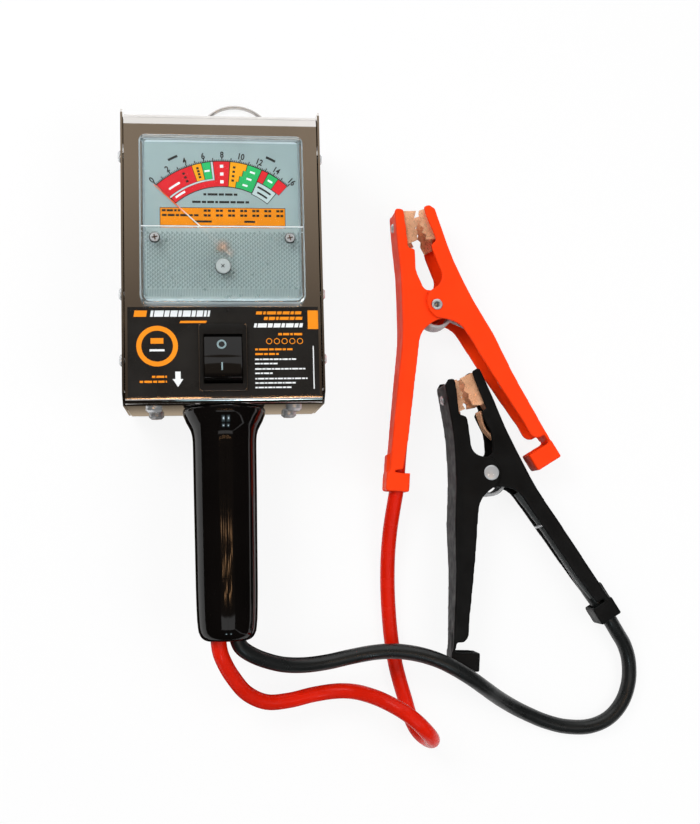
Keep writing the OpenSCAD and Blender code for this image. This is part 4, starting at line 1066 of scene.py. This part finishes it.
def make_grip():
    """The grip's two shiny halves, with a fine seam down the middle."""
    low, high = box_mm("handle_left")
    z = (low.z + high.z) / 2
    for name, side in (("handle_left", -1), ("handle_right", 1)):
        loops = []
        for v, r in GRIP:
            bore = max(4, r - 2.8 - (3 if v > 122 else 0))
            half_turn = [math.pi * k / 40 for k in range(41)]
            outer = [(r - (0.22 if k in (0, 40) else 0), a) for k, a in enumerate(half_turn)]
            inner = [(bore, a) for a in reversed(half_turn)]
            loops.append([(side * (rr * math.sin(a) + 0.03), Y_LOW - v - 0.05, z + rr * math.cos(a))
                          for rr, a in outer + inner])
        shape = Solid()
        shape.rings(loops)
        half = shape.piece(name + "_shown", FINISH["gloss_black"], slot=SLOTS[name], smooth=28)
        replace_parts(half, name)


# ---- clamps
MOVES = {"red": ("red_jaw", "tester"), "black": ("tester", "black_jaw")}  # cable side, free side
PIN_TOP = 13.5
LINER_Z = 8.8


def coil_route():
    """The torsion spring's wire, from one arm round the hinge to the other."""
    start, end = math.radians(205), math.radians(-10 + 360 * 6)
    legs_in = [(-20, -52, 6.4), (-19.6, -34, 6.8), (-17.6, -19, 7.1), (-12.6, -11, 7.2)]
    legs_out = [(24, -12, -7.1), (33, -26, -7.1), (41, -42, -7), (45, -50, -6.9)]
    shares = [k / 150 for k in range(151)]
    turns = [(1.2 + 9.2 * math.cos(a), -4 + 9.2 * math.sin(a), 7.1 - 14.2 * share)
             for share in shares for a in (start + (end - start) * share,)]
    return [Vector(p) for p in legs_in + turns + legs_out]


def make_liner(color, side, body):
    """A toothed copper liner: a top and a bottom plate joined by a back."""
    shape = Solid()
    t = 1
    if side == "cable":
        back = [(-21.4, 61), (-20.6, 40.6)]
        upper = [(-15.2, 40.2), (-9.9, 42.6), (-10.4, 44.7), (-9.7, 47.5), (-11.3, 50),
                 (-9.2, 52.8), (-11.9, 56.5), (-10.5, 61.2)]
        lower = [(-15.2, 40.2), (-9.6, 41.8), (-10.9, 44.6), (-9.5, 48.1), (-11.2, 50.7),
                 (-9.6, 53.6), (-11.7, 57), (-10.4, 60.6)]
        wall = [(-21.4, 60), (-20.4, 60), (-19.6, 41.6), (-20.6, 41.6)]
    else:
        back = [(3, 44.4), (-1.6, 61.6)]
        upper = [(-5.2, 62.5), (-8.6, 61.5), (-9, 59), (-7, 54.7), (-8.7, 52.2), (-5.9, 50.1),
                 (-7.2, 46.9), (-4.5, 45.7), (-4.9, 42.6), (1.6, 43)]
        lower = [(-5.2, 62.3), (-8.3, 61.2), (-8.9, 58.4), (-7.2, 55.2), (-8.4, 52), (-6.2, 49.8),
                 (-7, 47), (-4.9, 45.2), (-5.2, 41.6), (-2.6, 36.6), (2.8, 39.4)]
        wall = [(-1.4, 60.4), (-2.4, 60.4), (2.2, 45), (3.2, 45)]
    shape.prism(back + upper, LINER_Z - t, LINER_Z)
    shape.prism(back + lower, -LINER_Z, -LINER_Z + t)
    shape.prism(wall, -LINER_Z + 0.4, LINER_Z - 0.4)
    node = f"{color}_{side}_liner"
    if color == "black":
        shape.points = [(x, y, -z) for x, y, z in shape.points]
    made = shape.placed(PLACES[color]).piece(node + "_toothed", FINISH["copper"], body=body,
                                             slot=SLOTS[node], smooth=0)
    bevel(made, 0.22)
    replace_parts(made, node)
    return made


def make_hinge(color):
    """The hinge: a hollow eyelet on the red clamp, a broad flat head on the black one."""
    w = PIN_TOP
    if color == "red":
        profile = [(0, -w - 0.1), (4.6, -w - 0.1), (4.6, -w - 0.02), (3, -w - 0.02), (3, w - 0.2),
                   (3.1, w + 0.05), (3.38, w + 0.2), (3.34, w + 0.55), (3, w + 0.82),
                   (2.5, w + 0.88), (2.05, w + 0.7), (1.8, w + 0.3), (1.75, w - 0.4), (1.75, 7.5),
                   (0, 7.5)]
    else:
        profile = [(0, -w - 0.85), (3.3, -w - 0.85), (4.3, -w - 0.75), (4.66, -w - 0.5),
                   (4.66, -w - 0.02), (3, -w - 0.02), (3, w + 0.02), (3.6, w + 0.2),
                   (3.4, w + 0.8), (0, w + 0.85)]
    shape = Solid()
    shape.turn(profile)
    node = color + "_rivet"
    made = shape.placed(PLACES[color]).piece(node + "_turned", FINISH["plated_steel"],
                                             slot=SLOTS[node])
    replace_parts(made, node)
    return made


def make_clamp(color):
    """One dipped clamp: its soft-edged jaws, hinge, wound spring, copper liners and rivets."""
    cable_body, free_body = MOVES[color]
    place = PLACES[color]

    def along(points, steps):
        return smooth_route([place @ Vector(p) for p in points], steps)

    pieces = [melted_copy(color + "_cable_jaw", cable_body),
              melted_copy(color + "_free_jaw", free_body),
              make_liner(color, "cable", cable_body), make_liner(color, "free", free_body),
              make_hinge(color)]
    zinc = FINISH["plated_steel"]
    spring = tube(color + "_spring_wound", along(coil_route(), 1), 1.2, zinc, sides=12,
                  slot=SLOTS[color + "_spring"], smooth=50, body=None)
    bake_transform(spring)
    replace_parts(spring, color + "_spring")
    pieces.append(spring)
    if color == "black":
        core = along(((-25.4, -99, -2.5), (-22.6, -84, -2.6), (-19.4, -62, -2.8),
                      (-16.8, -42, -3), (-14, -27, -3.2), (-12.4, -19, -3.2)), 4)
        grey = surface("grey_sheath", (0.05, 0.055, 0.055), 0.3, vary=0.15)
        pieces.append(tube("black_clamp_core", core, 3.5, grey, slot="black_jacket", smooth=60))
        leg = along(((-23, -46, -6.8), (-19.2, -45, -7.6), (-15.2, -44.4, -7.4),
                     (-12.6, -44.2, -5), (-12.4, -44.2, -1.6)), 4)
        pieces.append(tube("black_spring_tail", leg, 0.75, zinc, sides=10,
                           slot=SLOTS["black_spring"], smooth=60))
        strands = Solid()
        for k in range(5):
            route = ((-13.8 + 0.2 * k, 37, -5 + 1.9 * k), (-11.9, 31, -5.2 + 1.7 * k),
                     (-11.5 - 0.2 * (k % 2), 25, -4.6 + 1.7 * k), (-13.8, 17.5, -4 + 1.6 * k))
            strands.rings(sweep(along(route, 5), 0.85, 8))
        pieces.append(strands.piece("black_bond_strands", FINISH["copper"], body=cable_body,
                                    slot=SLOTS["black_bond_strip"]))
    pieces += [NODES[color + "_" + n] for n in ("cable_rivet", "free_rivet", "bond_strip")]
    return pieces


make_dial()
make_needle()
make_cover()
make_cover_screws()
make_zero_adjuster()
make_label()
make_switch()
make_grip()
CLAMP_PIECES = {color: make_clamp(color) for color in ("red", "black")}
